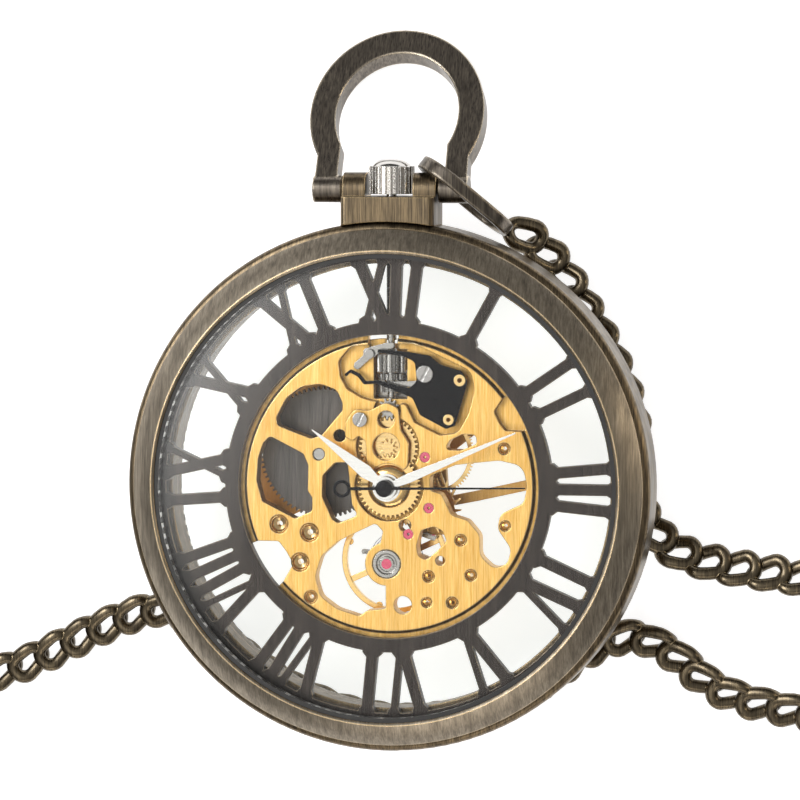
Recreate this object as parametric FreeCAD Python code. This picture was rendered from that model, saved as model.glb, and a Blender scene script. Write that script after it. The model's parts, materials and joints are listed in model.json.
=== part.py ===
import FreeCAD, Part
import math
import os

# Open-face pocket watch with a skeleton movement, lying on its back glass.
# Millimetres. The origin is on the hand axis, in the plane the watch rests on;
# +Z points out of the dial, +Y to 12 o'clock and the crown, +X to 3 o'clock.

Vec = FreeCAD.Vector

# ---- driving dimensions: case ----
CASE_R = 23.5            # outer radius of the case middle
CASE_WALL = 3.7          # case middle, outer face to bore
BEZEL_STEP = 0.6         # the bezel's foot stands this far inside the case edge
BEZEL_FLARE = 2.15       # how far the bezel's band slopes in
BACK_GLASS_RISE = 4.2    # height of the back glass's rim above the rest plane
BACK_GLASS_FLAT_R = 9.0  # flat middle of the back glass
GLASS_THICK = 0.8
CASE_LOW = 5.7           # underside of the case middle
CASE_HIGH = 10.9         # top of the case middle
BEZEL_HEIGHT = 1.7       # bezel above the case middle
GASKET = 0.4             # radial width of the glass gaskets
GLASS_DOME = 1.0         # camber of the front glass

# ---- driving dimensions: dial side ----
PLATE_R = 13.1           # bright upper disc of the main plate
PLATE_FLANGE = 1.3       # flange under the numeral ring
PLATE_TOP = 9.6          # height of the main plate's dial face
PLATE_THICK = 1.6
RING_GAP = 0.4           # dark gap between plate and numeral ring
RING_THICK = 0.9
RING_INNER_BAND = 1.25
RING_OUTER_BAND = 1.35
RECESS = 0.8             # depth of the recesses in the plate's dial face

# ---- driving dimensions: train ----
RUN = 0.05               # radial running clearance of arbors
THIRD = (3.23, 2.65)
ESCAPE = (3.58, -1.87)
PALLET = (1.73, -4.22)
BALANCE = (-0.22, -6.91)
BARREL = (-6.35, 2.77)
MINUTE = (-0.13, 3.43)
CROWN_WHEEL = (0.0, 8.6)
CENTRE = (0.0, 0.0)
BARREL_TEETH, CENTRE_LEAVES = 80, 16
CENTRE_TEETH, THIRD_LEAVES = 80, 10
THIRD_TEETH, FOURTH_LEAVES = 75, 10
FOURTH_TEETH, ESCAPE_LEAVES = 80, 8
CANNON_TEETH, MINUTE_TEETH = 12, 36
MINUTE_LEAVES, HOUR_TEETH = 10, 40
SETTING_TEETH = 12
CROWN_TEETH, RATCHET_TEETH = 40, 68
SECONDS_R = 0.18         # arbor that carries the second hand
CENTRE_R = 0.42          # hollow centre arbor
CANNON_R = 0.60
HOUR_PIPE_R = 0.95
JEWEL_R = 0.45
PIVOT_R = 0.10
BALANCE_R = 4.8

# ---- driving dimensions: winding, pendant, bow ----
STEM_R = 0.45
PENDANT_WIDTH = 8.4
PENDANT_DEPTH = 5.0
PENDANT_BASE = 2.2       # from the case to the bottom of the slot
CROWN_R = 2.05
CROWN_LENGTH = 2.45
SLOT_CLEAR = 0.10
EAR_R = 1.5
BOW_HALF_WIDTH = 7.85
BOW_LENGTH = 15.45       # pivot to the far edge
BOW_BAR = 2.3
BOW_THICK = 2.0
BOW_TUCK = 30            # how far the ring turns back in below its widest line
FOOT_R = 1.2
BOW_PIN_R = 0.45

# ---- driving dimensions: chain ----
CHAIN_D = 3.0
COIL_R = 16.0
COIL_AT = (-55.5, -3.4)


def distance(a, b):
    return math.hypot(b[0] - a[0], b[1] - a[1])


# ---- worked out from the above ----
PLATE_LOW = PLATE_TOP - PLATE_THICK
FLOOR = PLATE_TOP - RECESS            # floor of the dial-side recesses
RING_TOP = PLATE_TOP + 0.55
RING_LOW = RING_TOP - RING_THICK
STEM_Z = PLATE_LOW + 0.3
CASE_BORE = CASE_R - CASE_WALL
BEZEL_FOOT = CASE_R - BEZEL_STEP
BEZEL_BORE = BEZEL_FOOT - BEZEL_FLARE
BEZEL_TOP = CASE_HIGH + BEZEL_HEIGHT
PIVOT_Y = CASE_R + PENDANT_BASE + 0.6
BOW_REACH = math.hypot(BOW_LENGTH, BOW_THICK / 2)
BOW_LEAN = math.degrees(math.asin((STEM_Z - 0.05) / BOW_REACH)
                        - math.atan2(BOW_THICK / 2, BOW_LENGTH))   # far edge meets the table
SETTING_AT = (MINUTE[0], MINUTE[1] + distance(CENTRE, MINUTE))


def drop(depth):
    """Height of a point that far under the main plate."""
    return PLATE_LOW - depth


# ---- helpers ----

def polar(radius, angle, at=CENTRE):
    """A point by radius and angle in degrees, anticlockwise from +X."""
    a = math.radians(angle)
    return (at[0] + radius * math.cos(a), at[1] + radius * math.sin(a))


def disc(radius, low, high, at=CENTRE):
    return Part.makeCylinder(radius, high - low, Vec(at[0], at[1], low))


def circle(radius, at=CENTRE):
    return Part.Wire(Part.makeCircle(radius, Vec(at[0], at[1], 0)))


def slab(outer, low, high, holes=()):
    """A flat piece: an outline with holes, between two heights."""
    face = Part.makeFace([outer, *holes], "Part::FaceMakerBullseye")
    solid = face.extrude(Vec(0, 0, high - low))
    solid.translate(Vec(0, 0, low))
    return solid.Solids[0]


def ring(outer, inner, low, high, at=CENTRE):
    return slab(circle(outer, at), low, high, [circle(inner, at)])


def turned(points):
    """A turned piece from a closed profile of (radius, height) points, or of arcs
    given as ("arc", middle, end)."""
    edges = []
    start = points[0]
    here = start
    for p in points[1:] + [start]:
        if p[0] == "arc":
            middle, end = p[1], p[2]
            edges.append(Part.Arc(Vec(here[0], 0, here[1]), Vec(middle[0], 0, middle[1]),
                                  Vec(end[0], 0, end[1])).toShape())
            here = end
        else:
            edges.append(Part.makeLine(Vec(here[0], 0, here[1]), Vec(p[0], 0, p[1])))
            here = p
    face = Part.Face(Part.Wire(edges))
    return face.revolve(Vec(0, 0, 0), Vec(0, 0, 1), 360)


def outline(corners):
    """A closed wire through (x, y) or (x, y, radius) corners, each radius an arc
    that is limited by the sides beside it."""
    count = len(corners)
    spans = []
    for i, corner in enumerate(corners):
        p = Vec(corner[0], corner[1], 0)
        radius = corner[2] if len(corner) > 2 else 0
        before = Vec(*corners[i - 1][:2], 0) - p
        after = Vec(*corners[(i + 1) % count][:2], 0) - p
        half = before.getAngle(after) / 2
        if radius == 0 or abs(half - math.pi / 2) < 0.02:
            spans.append((p, None, p))
            continue
        back = min(radius / math.tan(half), 0.48 * before.Length, 0.48 * after.Length)
        radius = back * math.tan(half)
        before.normalize()
        after.normalize()
        middle = before + after
        middle.normalize()
        depth = radius / math.sin(half) - radius
        spans.append((p + before * back, p + middle * depth, p + after * back))
    edges = []
    for i, (start, middle, end) in enumerate(spans):
        if middle is not None:
            edges.append(Part.Arc(start, middle, end).toShape())
        following = spans[(i + 1) % count][0]
        if (following - end).Length > 1e-6:
            edges.append(Part.makeLine(end, following))
    return Part.Wire(edges)


def polygon(points):
    vectors = [Vec(x, y, 0) for x, y in points]
    return Part.makePolygon(vectors + [vectors[0]])


def placed(shape, at, angle=0.0, up=0.0):
    """A shape built about the Z axis, turned and moved to its place."""
    shape.rotate(Vec(0, 0, 0), Vec(0, 0, 1), angle)
    shape.translate(Vec(at[0], at[1], up))
    return shape


def along_y(shape, x=0.0, y=0.0, z=0.0):
    """A shape built along +Z, laid along +Y."""
    shape.rotate(Vec(0, 0, 0), Vec(1, 0, 0), -90)
    shape.translate(Vec(x, y, z))
    return shape


def fused(first, *others):
    return first.fuse(list(others)).removeSplitter()


def bearing(a, b):
    """Direction from a to b in degrees."""
    return math.degrees(math.atan2(b[1] - a[1], b[0] - a[0]))


def tooth_phase(phase, teeth, at, other_at, other_teeth):
    """Direction of a tooth of the other wheel, so that it meshes with this one."""
    theta = bearing(at, other_at)
    part = ((theta - phase) * teeth / 360) % 1
    return theta + 180 + (part - 0.5) * 360 / other_teeth


def toothed(teeth, pitch_r, phase, at, spokes=0, rim=0.0, hub=0.0, bore=0.0, addendum=0.85):
    """The outline of a spur wheel and its openings: round bore, spoked or solid."""
    module = 2 * pitch_r / teeth
    tip = pitch_r + addendum * module
    root = pitch_r - 1.15 * module
    pitch = 360 / teeth
    points = []
    for k in range(teeth):
        middle = phase + k * pitch
        for radius, part in ((root, -0.27), (pitch_r, -0.21), (tip, -0.08),
                             (tip, 0.08), (pitch_r, 0.21), (root, 0.27)):
            points.append(polar(radius, middle + part * pitch, at))
    holes = [circle(bore, at)] if bore else []
    for k in range(spokes):
        inner, outer = hub, root - rim
        arm = rim * 0.9
        start = 360 / spokes * k + phase
        end = start + 360 / spokes
        a_in = math.degrees(math.asin(arm / 2 / inner))
        a_out = math.degrees(math.asin(arm / 2 / outer))
        p1, p2 = polar(outer, start + a_out, at), polar(outer, end - a_out, at)
        p3, p4 = polar(inner, end - a_in, at), polar(inner, start + a_in, at)
        top = polar(outer, (start + end) / 2, at)
        low = polar(inner, (start + end) / 2, at)
        flat = [Vec(p[0], p[1], 0) for p in (p1, top, p2, p3, low, p4)]
        holes.append(Part.Wire([
            Part.Arc(flat[0], flat[1], flat[2]).toShape(), Part.makeLine(flat[2], flat[3]),
            Part.Arc(flat[3], flat[4], flat[5]).toShape(), Part.makeLine(flat[5], flat[0])]))
    return polygon(points), holes


def spur(teeth, pitch_r, phase, at, low, high, **shape):
    outer, holes = toothed(teeth, pitch_r, phase, at, **shape)
    return slab(outer, low, high, holes)


def arbor(at, radius, low, high, foot=0.0, head=0.0, pivot=PIVOT_R):
    """A round arbor with a pivot of its own length at each end."""
    body = disc(radius, low, high, at)
    ends = []
    if foot:
        ends.append(disc(pivot, low - foot, low, at))
    if head:
        ends.append(disc(pivot, high, high + head, at))
    return fused(body, *ends) if ends else body


def screw(at, head_r, shank_r, head_low, head_high, shank_end):
    """A slotted screw; its head may face up or down."""
    slot = 0.14 * head_r
    low, high = min(head_low, head_high), max(head_low, head_high)
    depth = 0.4 * (high - low)
    head = disc(head_r, low, high, at)
    cut_low = high - depth if head_high > head_low else low
    groove = Part.makeBox(2.4 * head_r, 2 * slot, depth,
                          Vec(at[0] - 1.2 * head_r, at[1] - slot, cut_low))
    groove.rotate(Vec(at[0], at[1], 0), Vec(0, 0, 1), 63)
    shank = disc(shank_r, min(head_low, shank_end), max(head_low, shank_end), at)
    return head.fuse(shank).cut(groove).removeSplitter()


def spiral(at, inner, pitch, turns, thick, low, high, start=0.0):
    """A flat spiral spring of half-turn arcs about two centres, a quarter pitch
    either side of the middle."""
    def side(offset):
        edges = []
        for k in range(int(2 * turns)):
            radius = inner + k * pitch / 2 + offset
            sign = 1 if k % 2 == 0 else -1
            centre = Vec(sign * pitch / 4, 0, 0)
            a = centre + Vec(-sign * radius, 0, 0)
            b = centre + Vec(0, sign * radius, 0)
            c = centre + Vec(sign * radius, 0, 0)
            edges.append(Part.Arc(a, b, c).toShape())
        return edges
    outer, inside = side(thick / 2), side(-thick / 2)
    first = Part.makeLine(inside[0].Vertexes[0].Point, outer[0].Vertexes[0].Point)
    last = Part.makeLine(outer[-1].Vertexes[1].Point, inside[-1].Vertexes[1].Point)
    wire = Part.Wire(Part.__sortEdges__(outer + [last] + inside + [first]))
    return placed(slab(wire, low, high), at, start)


# ---- the case ----

def case_middle():
    seat = BEZEL_FOOT - 1.35
    body = turned([
        (CASE_BORE, CASE_LOW + 1.5), (seat, CASE_LOW + 1.5), (seat, CASE_LOW),
        (BEZEL_FOOT, CASE_LOW), ("arc", (CASE_R - 0.18, CASE_LOW + 0.22), (CASE_R, CASE_LOW + 0.8)),
        (CASE_R, CASE_HIGH - 0.8),
        ("arc", (CASE_R - 0.18, CASE_HIGH - 0.22), (BEZEL_FOOT, CASE_HIGH)),
        (seat, CASE_HIGH), (seat, RING_LOW), (CASE_BORE, RING_LOW)])
    hole = along_y(Part.makeCylinder(STEM_R + 0.3, CASE_R), z=STEM_Z)
    return body.cut(hole)


def front_bezel():
    seat = BEZEL_FOOT - 1.35
    neck = BEZEL_BORE
    return turned([
        (neck, RING_TOP), (seat, RING_TOP), (seat, CASE_HIGH), (BEZEL_FOOT, CASE_HIGH),
        (BEZEL_FOOT, CASE_HIGH + 0.25), ("arc", (BEZEL_FOOT - 1.0, CASE_HIGH + 1.12),
                                         (neck + 0.25, BEZEL_TOP)),
        (neck, BEZEL_TOP - 0.15)])


def front_glass():
    """A cambered glass of even thickness, with a small flat in its middle."""
    radius = BEZEL_BORE - GASKET
    low = BEZEL_TOP - 0.95
    high = low + GLASS_THICK - 0.05
    return turned([
        (0, low + GLASS_DOME), (1.0, low + GLASS_DOME),
        ("arc", (radius * 0.7, low + GLASS_DOME * 0.51), (radius, low)), (radius, high),
        ("arc", (radius * 0.7, high + GLASS_DOME * 0.51), (1.0, high + GLASS_DOME)),
        (0, high + GLASS_DOME)])


def front_gasket():
    low = BEZEL_TOP - 0.95
    return ring(BEZEL_BORE, BEZEL_BORE - GASKET, low - 0.1, low + GLASS_THICK - 0.1)


def back_bezel():
    seat = BEZEL_FOOT - 1.35
    glass = CASE_BORE + 0.6
    return turned([
        (glass + 0.35, BACK_GLASS_RISE - 0.2), (glass + 1.2, BACK_GLASS_RISE + 0.1),
        ("arc", (BEZEL_FOOT - 0.75, CASE_LOW - 0.85), (BEZEL_FOOT - 0.1, CASE_LOW - 0.15)),
        (BEZEL_FOOT - 0.1, CASE_LOW), (seat, CASE_LOW), (seat, CASE_LOW + 1.4),
        (CASE_BORE + 0.15, CASE_LOW + 1.4), (CASE_BORE + 0.15, BACK_GLASS_RISE + 1.0),
        (glass + 0.35, BACK_GLASS_RISE + 1.0)])


def back_glass():
    """A deep glass with a flat middle, so that the watch stands on it."""
    edge = CASE_BORE + 0.3
    bulge = ((BACK_GLASS_FLAT_R + edge) / 2, BACK_GLASS_RISE * 0.42)
    inner = (bulge[0] - 0.3, bulge[1] + GLASS_THICK)
    return turned([
        (0, 0), (BACK_GLASS_FLAT_R, 0), ("arc", bulge, (edge, BACK_GLASS_RISE)),
        (edge, BACK_GLASS_RISE + GLASS_THICK), (edge - 0.7, BACK_GLASS_RISE + GLASS_THICK),
        ("arc", inner, (BACK_GLASS_FLAT_R - 0.2, GLASS_THICK)), (0, GLASS_THICK)])


def back_gasket():
    edge = CASE_BORE + 0.3
    return ring(edge + 0.65, edge, BACK_GLASS_RISE + 0.05, BACK_GLASS_RISE + GLASS_THICK)


def pendant():
    """A block with a U slot for the crown and two round ears for the bow."""
    half = PENDANT_WIDTH / 2
    slot = CROWN_R + SLOT_CLEAR
    base_top = CASE_R + PENDANT_BASE
    base = Part.makeBox(2 * half, base_top - CASE_R + 3, PENDANT_DEPTH,
                        Vec(-half, CASE_R - 3, STEM_Z - PENDANT_DEPTH / 2))
    edges = [e for e in base.Edges if abs(e.Vertexes[0].Y - e.Vertexes[1].Y) > 1]
    base = base.makeFillet(0.5, edges)
    ears = []
    for side in (-1, 1):
        low_x = side * slot if side > 0 else -half
        ear = Part.makeCylinder(EAR_R, half - slot, Vec(low_x, PIVOT_Y, STEM_Z), Vec(1, 0, 0))
        root = Part.makeBox(half - slot, PIVOT_Y - base_top + 0.4, 2 * EAR_R,
                            Vec(low_x, base_top - 0.4, STEM_Z - EAR_R))
        ears += [ear, root]
    body = base.fuse(ears).removeSplitter()
    cutters = [disc(CASE_R, CASE_LOW - 3, CASE_HIGH + 3), case_middle(),
               along_y(Part.makeCylinder(STEM_R + 0.15, 2 * CASE_R), z=STEM_Z)]
    for side in (-1, 1):
        start = side * (slot + 0.5)
        cutters.append(Part.makeCylinder(BOW_PIN_R + RUN, half, Vec(start, PIVOT_Y, STEM_Z),
                                         Vec(side, 0, 0)))
    return body.cut(cutters)


def in_bow_plane(shape):
    """A bow piece drawn upright in the dial plane about the pivot, leant back."""
    shape.translate(Vec(0, PIVOT_Y, STEM_Z))
    shape.rotate(Vec(0, PIVOT_Y, STEM_Z), Vec(1, 0, 0), -BOW_LEAN)
    return shape


def bow_curve(half_width, tall, crest, leg):
    """Most of an ellipse on two short legs, as edges from leg to leg."""
    points = []
    for k in range(17):
        turn = math.radians(15 * k - BOW_TUCK)
        points.append(Vec(half_width * math.cos(turn), crest + tall * math.sin(turn), 0))
    curve = Part.BSplineCurve()
    curve.interpolate(points)
    return [Part.makeLine(Vec(leg, 0, 0), points[0]), curve.toShape(),
            Part.makeLine(points[-1], Vec(-leg, 0, 0))]


def bow():
    """A horseshoe of flat bar whose legs end in round feet on the pivot line."""
    tall = 1.07 * BOW_HALF_WIDTH
    crest = BOW_LENGTH - tall
    gap = PENDANT_WIDTH / 2 + 0.15
    inner_leg = gap + 0.5
    outer_leg = inner_leg + 2.0
    outer = bow_curve(BOW_HALF_WIDTH, tall, crest, outer_leg)
    inner = bow_curve(BOW_HALF_WIDTH - BOW_BAR, tall - BOW_BAR, crest, inner_leg)
    ends = [Part.makeLine(Vec(side * inner_leg, 0, 0), Vec(side * outer_leg, 0, 0))
            for side in (-1, 1)]
    wire = Part.Wire(Part.__sortEdges__(outer + inner + ends))
    body = slab(wire, -BOW_THICK / 2, BOW_THICK / 2)
    feet = [Part.makeCylinder(FOOT_R, outer_leg - gap + 0.1, Vec(side * gap, 0, 0), Vec(side, 0, 0))
            for side in (-1, 1)]
    holes = [Part.makeCylinder(BOW_PIN_R, 2.0, Vec(side * PENDANT_WIDTH / 2, 0, 0), Vec(side, 0, 0))
             for side in (-1, 1)]
    return in_bow_plane(body.fuse(feet).removeSplitter().cut(holes))


def bow_pins():
    start = CROWN_R + SLOT_CLEAR + 0.7
    end = PENDANT_WIDTH / 2 + 2.0
    pins = [Part.makeCylinder(BOW_PIN_R, end - start, Vec(side * start, 0, 0), Vec(side, 0, 0))
            for side in (-1, 1)]
    return in_bow_plane(Part.Compound(pins))


# ---- crown and keyless works ----

def crown():
    """A ribbed crown with a domed end, open to the stem."""
    ribs = 26
    points = []
    for k in range(ribs):
        middle = 360 / ribs * k
        for radius, part in ((0.89, -0.30), (1.0, -0.16), (1.0, 0.16), (0.89, 0.30)):
            points.append(polar(CROWN_R * radius, middle + part * 360 / ribs))
    body = slab(polygon(points), 0, CROWN_LENGTH)
    collar = turned([(0, CROWN_LENGTH), (CROWN_R * 0.86, CROWN_LENGTH),
                     ("arc", (CROWN_R * 0.72, CROWN_LENGTH + 0.32), (0, CROWN_LENGTH + 0.45))])
    body = body.fuse(collar).cut(Part.makeCylinder(STEM_R, CROWN_LENGTH * 0.7))
    return along_y(body, y=CASE_R + PENDANT_BASE + 0.2, z=STEM_Z)


STEM_STEPS = ((6.2, 7.85, 0.15), (7.85, 12.0, 0.36), (12.0, 12.15, 0.45), (12.15, 12.95, 0.30))


def stem():
    pieces = [along_y(Part.makeCylinder(r, end - start), y=start, z=STEM_Z)
              for start, end, r in STEM_STEPS]
    top = CASE_R + PENDANT_BASE + 0.2 + CROWN_LENGTH * 0.7
    pieces.append(along_y(Part.makeCylinder(STEM_R, top - 12.95), y=12.95, z=STEM_Z))
    return fused(*pieces)


def winding_pinion():
    outer, holes = toothed(13, 1.12, 0, CENTRE, bore=0.36 + RUN)
    return along_y(slab(outer, 0, 1.6, holes), y=10.1, z=STEM_Z)


def clutch():
    """The sliding pinion, with a groove for the yoke."""
    bore = 0.36 + RUN
    parts = []
    for start, end, radius in ((0, 0.55, 1.0), (0.55, 1.05, 0.62), (1.05, 1.6, 1.0)):
        if radius > 0.9:
            outer, holes = toothed(14, radius * 0.92, 0, CENTRE, bore=bore)
            parts.append(slab(outer, start, end, holes))
        else:
            parts.append(ring(radius, bore, start, end))
    return along_y(fused(*parts), y=8.35, z=STEM_Z)


LEVER_PIVOT = (-1.8, 11.75)
YOKE_PIVOT = (4.2, 9.2)
LEVER_LOW = FLOOR + 0.08
LEVER_HIGH = FLOOR + 0.33


def setting_lever():
    shape = outline([(-2.4, 12.15, 0.3), (-0.3, 12.75, 0.2), (0.35, 12.75, 0.2), (0.35, 12.3, 0.2),
                     (-0.9, 11.95, 0.3), (-1.35, 11.5, 0.2), (-1.9, 11.2, 0.3), (-2.9, 10.3, 0.2),
                     (-3.3, 10.5, 0.2), (-3.2, 10.9, 0.2), (-2.4, 11.6, 0.3)])
    body = slab(shape, LEVER_LOW, LEVER_HIGH, [circle(0.25, LEVER_PIVOT)])
    pin = disc(0.16, STEM_Z + 0.36, LEVER_LOW, (0.0, 12.55))
    return fused(body, pin)


def yoke():
    shape = outline([(0.36, 8.98, 0.1), (0.36, 9.3, 0.1), (1.1, 9.32, 0.3), (2.6, 9.4, 0.3), (3.4, 9.62, 0.3),
                     (4.4, 9.8, 0.5), (4.85, 9.2, 0.4), (4.5, 8.3, 0.2), (4.0, 8.3, 0.2),
                     (3.4, 8.8, 0.4), (1.6, 8.85, 0.3), (1.1, 8.96, 0.2)])
    return slab(shape, LEVER_LOW, LEVER_HIGH, [circle(0.25, YOKE_PIVOT)])


def yoke_spring():
    """A bent wire spring that keeps the yoke up to the pinion."""
    shape = outline([(3.0, 7.5, 0.05), (4.5, 7.95, 0.3), (5.3, 7.6, 0.3), (5.0, 6.75, 0.1),
                     (5.3, 6.7, 0.1), (5.6, 7.7, 0.4), (4.5, 8.15, 0.4), (2.95, 7.68, 0.05)])
    return slab(shape, LEVER_LOW, LEVER_HIGH)


def setting_lever_spring():
    """The black cover of the keyless works, with a window over the pinions, a
    straight arm above it and a wavy detent arm below."""
    shape = outline([
        (-0.9, 12.2, 0.1), (1.8, 12.0, 0.5), (3.7, 11.7, 0.6), (4.6, 10.95, 0.4), (6.6, 10.35, 0.5),
        (7.15, 9.4, 0.5), (6.0, 5.5, 0.3), (5.2, 5.2, 0.3), (2.85, 6.4, 0.5), (2.2, 7.9, 0.5),
        (0.6, 8.55, 0.6), (-1.0, 9.15, 0.3), (-2.2, 9.05, 0.3), (-2.75, 9.75, 0.2),
        (-3.45, 10.1, 0.2), (-3.8, 9.7, 0.1), (-3.95, 9.95, 0.1), (-3.4, 10.4, 0.2),
        (-2.55, 10.0, 0.2), (-2.0, 9.35, 0.2), (-0.9, 9.45, 0.3), (0.8, 9.0, 0.6),
        (1.9, 8.75, 0.6), (2.55, 9.4, 0.5), (2.4, 11.1, 0.5), (1.4, 11.6, 0.4),
        (-1.0, 11.9, 0.1)])
    holes = [circle(0.36, (3.3, 10.06)), circle(0.52, (6.42, 9.53)), circle(0.48, (5.42, 6.03))]
    return slab(shape, PLATE_TOP + 0.05, PLATE_TOP + 0.33, holes)


# ---- main plate ----

def rim_notch(angle_from, angle_to, depth):
    """An opening in the plate's edge between two directions."""
    edge = PLATE_R + PLATE_FLANGE + 1
    middle = (angle_from + angle_to) / 2
    inner = PLATE_R - depth
    return outline([polar(edge, angle_from), (*polar(PLATE_R - 0.2, angle_from), 0.3),
                    (*polar(inner, angle_from + (angle_to - angle_from) * 0.2), 0.4),
                    (*polar(inner - 0.15, middle), 1.0),
                    (*polar(inner, angle_to - (angle_to - angle_from) * 0.15), 0.4),
                    (*polar(PLATE_R - 0.2, angle_to), 0.3), polar(edge, angle_to)])


BARREL_WINDOW = [(-10.2, 6.0, .5), (-9.3, 7.75, 1.5), (-7.9, 8.8, 1.6), (-6.2, 9.05, 1.6),
                 (-4.7, 8.5, .9), (-4.2, 7.4, .5), (-4.2, 6.7, .15), (-6.1, 4.45, .3),
                 (-7.0, 4.15, .3), (-9.1, 4.9, .4), (-10.1, 5.3, .4)]
SIDE_WINDOW = [(-11.4, 3.7, .4), (-10.8, 4.35, .4), (-7.75, 2.8, .4), (-7.3, 1.8, .3),
               (-7.35, -.5, .3), (-6.95, -1.1, .3), (-6.95, -2.3, .4), (-8.5, -3.0, .3),
               (-11.5, -1.5, .3), (-12.0, .3, 1.2), (-11.85, 2.4, 1.2)]
HAND_WINDOW = [(-6.0, .9, .5), (-4.9, 2.05, .4), (-3.75, 2.1, .3), (-3.55, .3, .4),
               (-3.35, -1.6, .3), (-2.85, -2.65, .3), (-4.6, -3.35, .3), (-5.15, -3.0, .3),
               (-6.05, -1.0, .7)]
TRAIN_WINDOW = [(3.7, 1.0, .4), (6.0, 2.0, 1.0), (9.9, 2.45, 1.8), (12.0, 2.0, 1.3),
                (12.4, .2, 1.2), (12.1, -1.3, .9), (10.0, -2.3, .9), (9.75, -3.6, 1.0),
                (11.0, -5.4, 1.1), (10.6, -6.8, .9), (9.4, -7.1, .9), (8.2, -6.0, 1.1),
                (8.2, -4.2, 1.1), (7.1, -2.9, .8), (5.6, -2.45, .7), (4.75, -.6, .5),
                (3.7, -.3, .3)]
UPPER_WINDOW = [(5.0, 3.35, .3), (5.5, 4.2, .5), (6.6, 4.75, .5), (7.8, 4.7, .4), (7.9, 3.9, .3),
                (6.5, 3.3, .2)]
PALLET_WINDOW = [(2.9, -3.85, .4), (4.0, -3.5, .5), (4.8, -3.85, .5), (5.2, -4.8, .4),
                 (4.5, -5.5, .4), (4.0, -5.95, .3), (3.3, -6.55, .5), (2.6, -6.1, .5),
                 (2.5, -5.2, .6)]
BALANCE_WINDOW = [(-1.2, -3.3, .4), (-.55, -4.0, .3), (-.8, -5.2, .2), (-.3, -7.0), (-.3, -9.2, .2),
                  (-.3, -10.9, .2), (-2.0, -11.1, .3), (-2.7, -11.6, .3), (-4.7, -11.0, 2.0),
                  (-6.2, -9.9, 1.2), (-6.7, -8.2, 1.8), (-6.1, -6.3, 1.3), (-4.6, -4.95, 1.6)]
KEYLESS_RECESS = [(-4.6, 11.1, .9), (-4.4, 9.7, .8), (-3.8, 8.6, .8), (-2.5, 7.85, .5),
                  (-1.6, 7.6, .4), (1.5, 7.3, .4), (2.3, 5.7, .4), (4.6, 4.6, .5), (6.2, 4.8, 1.2),
                  (7.2, 6.6, 2.0), (7.7, 8.6, 2.0), (7.4, 10.3, 1.3), (2.2, 12.75, 1.5),
                  (-3.4, 12.5, 1.2)]

GOLD_BUSHES = (((-9.97, -3.51), .85), ((-7.21, -4.22), .85), ((-8.07, -6.88), .85),
               ((-7.08, -9.99), .62), ((10.35, 3.5), .55), ((10.44, -3.33), .5),
               ((6.46, -4.67), .55), ((7.37, -7.77), .55), ((3.57, -7.95), .55),
               ((3.39, -10.25), .5), ((5.7, -10.25), .55))
PLAIN_HOLES = (((-4.46, 4.47), .55), ((1.45, -3.45), .55), ((4.61, -6.53), .42),
               ((1.25, -10.55), .8))
CASE_SCREWS = [polar(PLATE_R + 0.85, a) for a in (25, 145, 265)]
BRIDGE_POSTS = ((-11.2, -2.9), (-7.9, 9.6), (-2.6, 11.6))
TRAIN_POSTS = ((8.5, 6.8), (6.3, -6.2), (12.65, 0.1))
COCK_FOOT = (6.2, -9.4)
COCK_SCREW = (6.6, -9.0)
PALLET_POSTS = ((6.0, -3.9), (1.7, -6.3))


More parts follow.
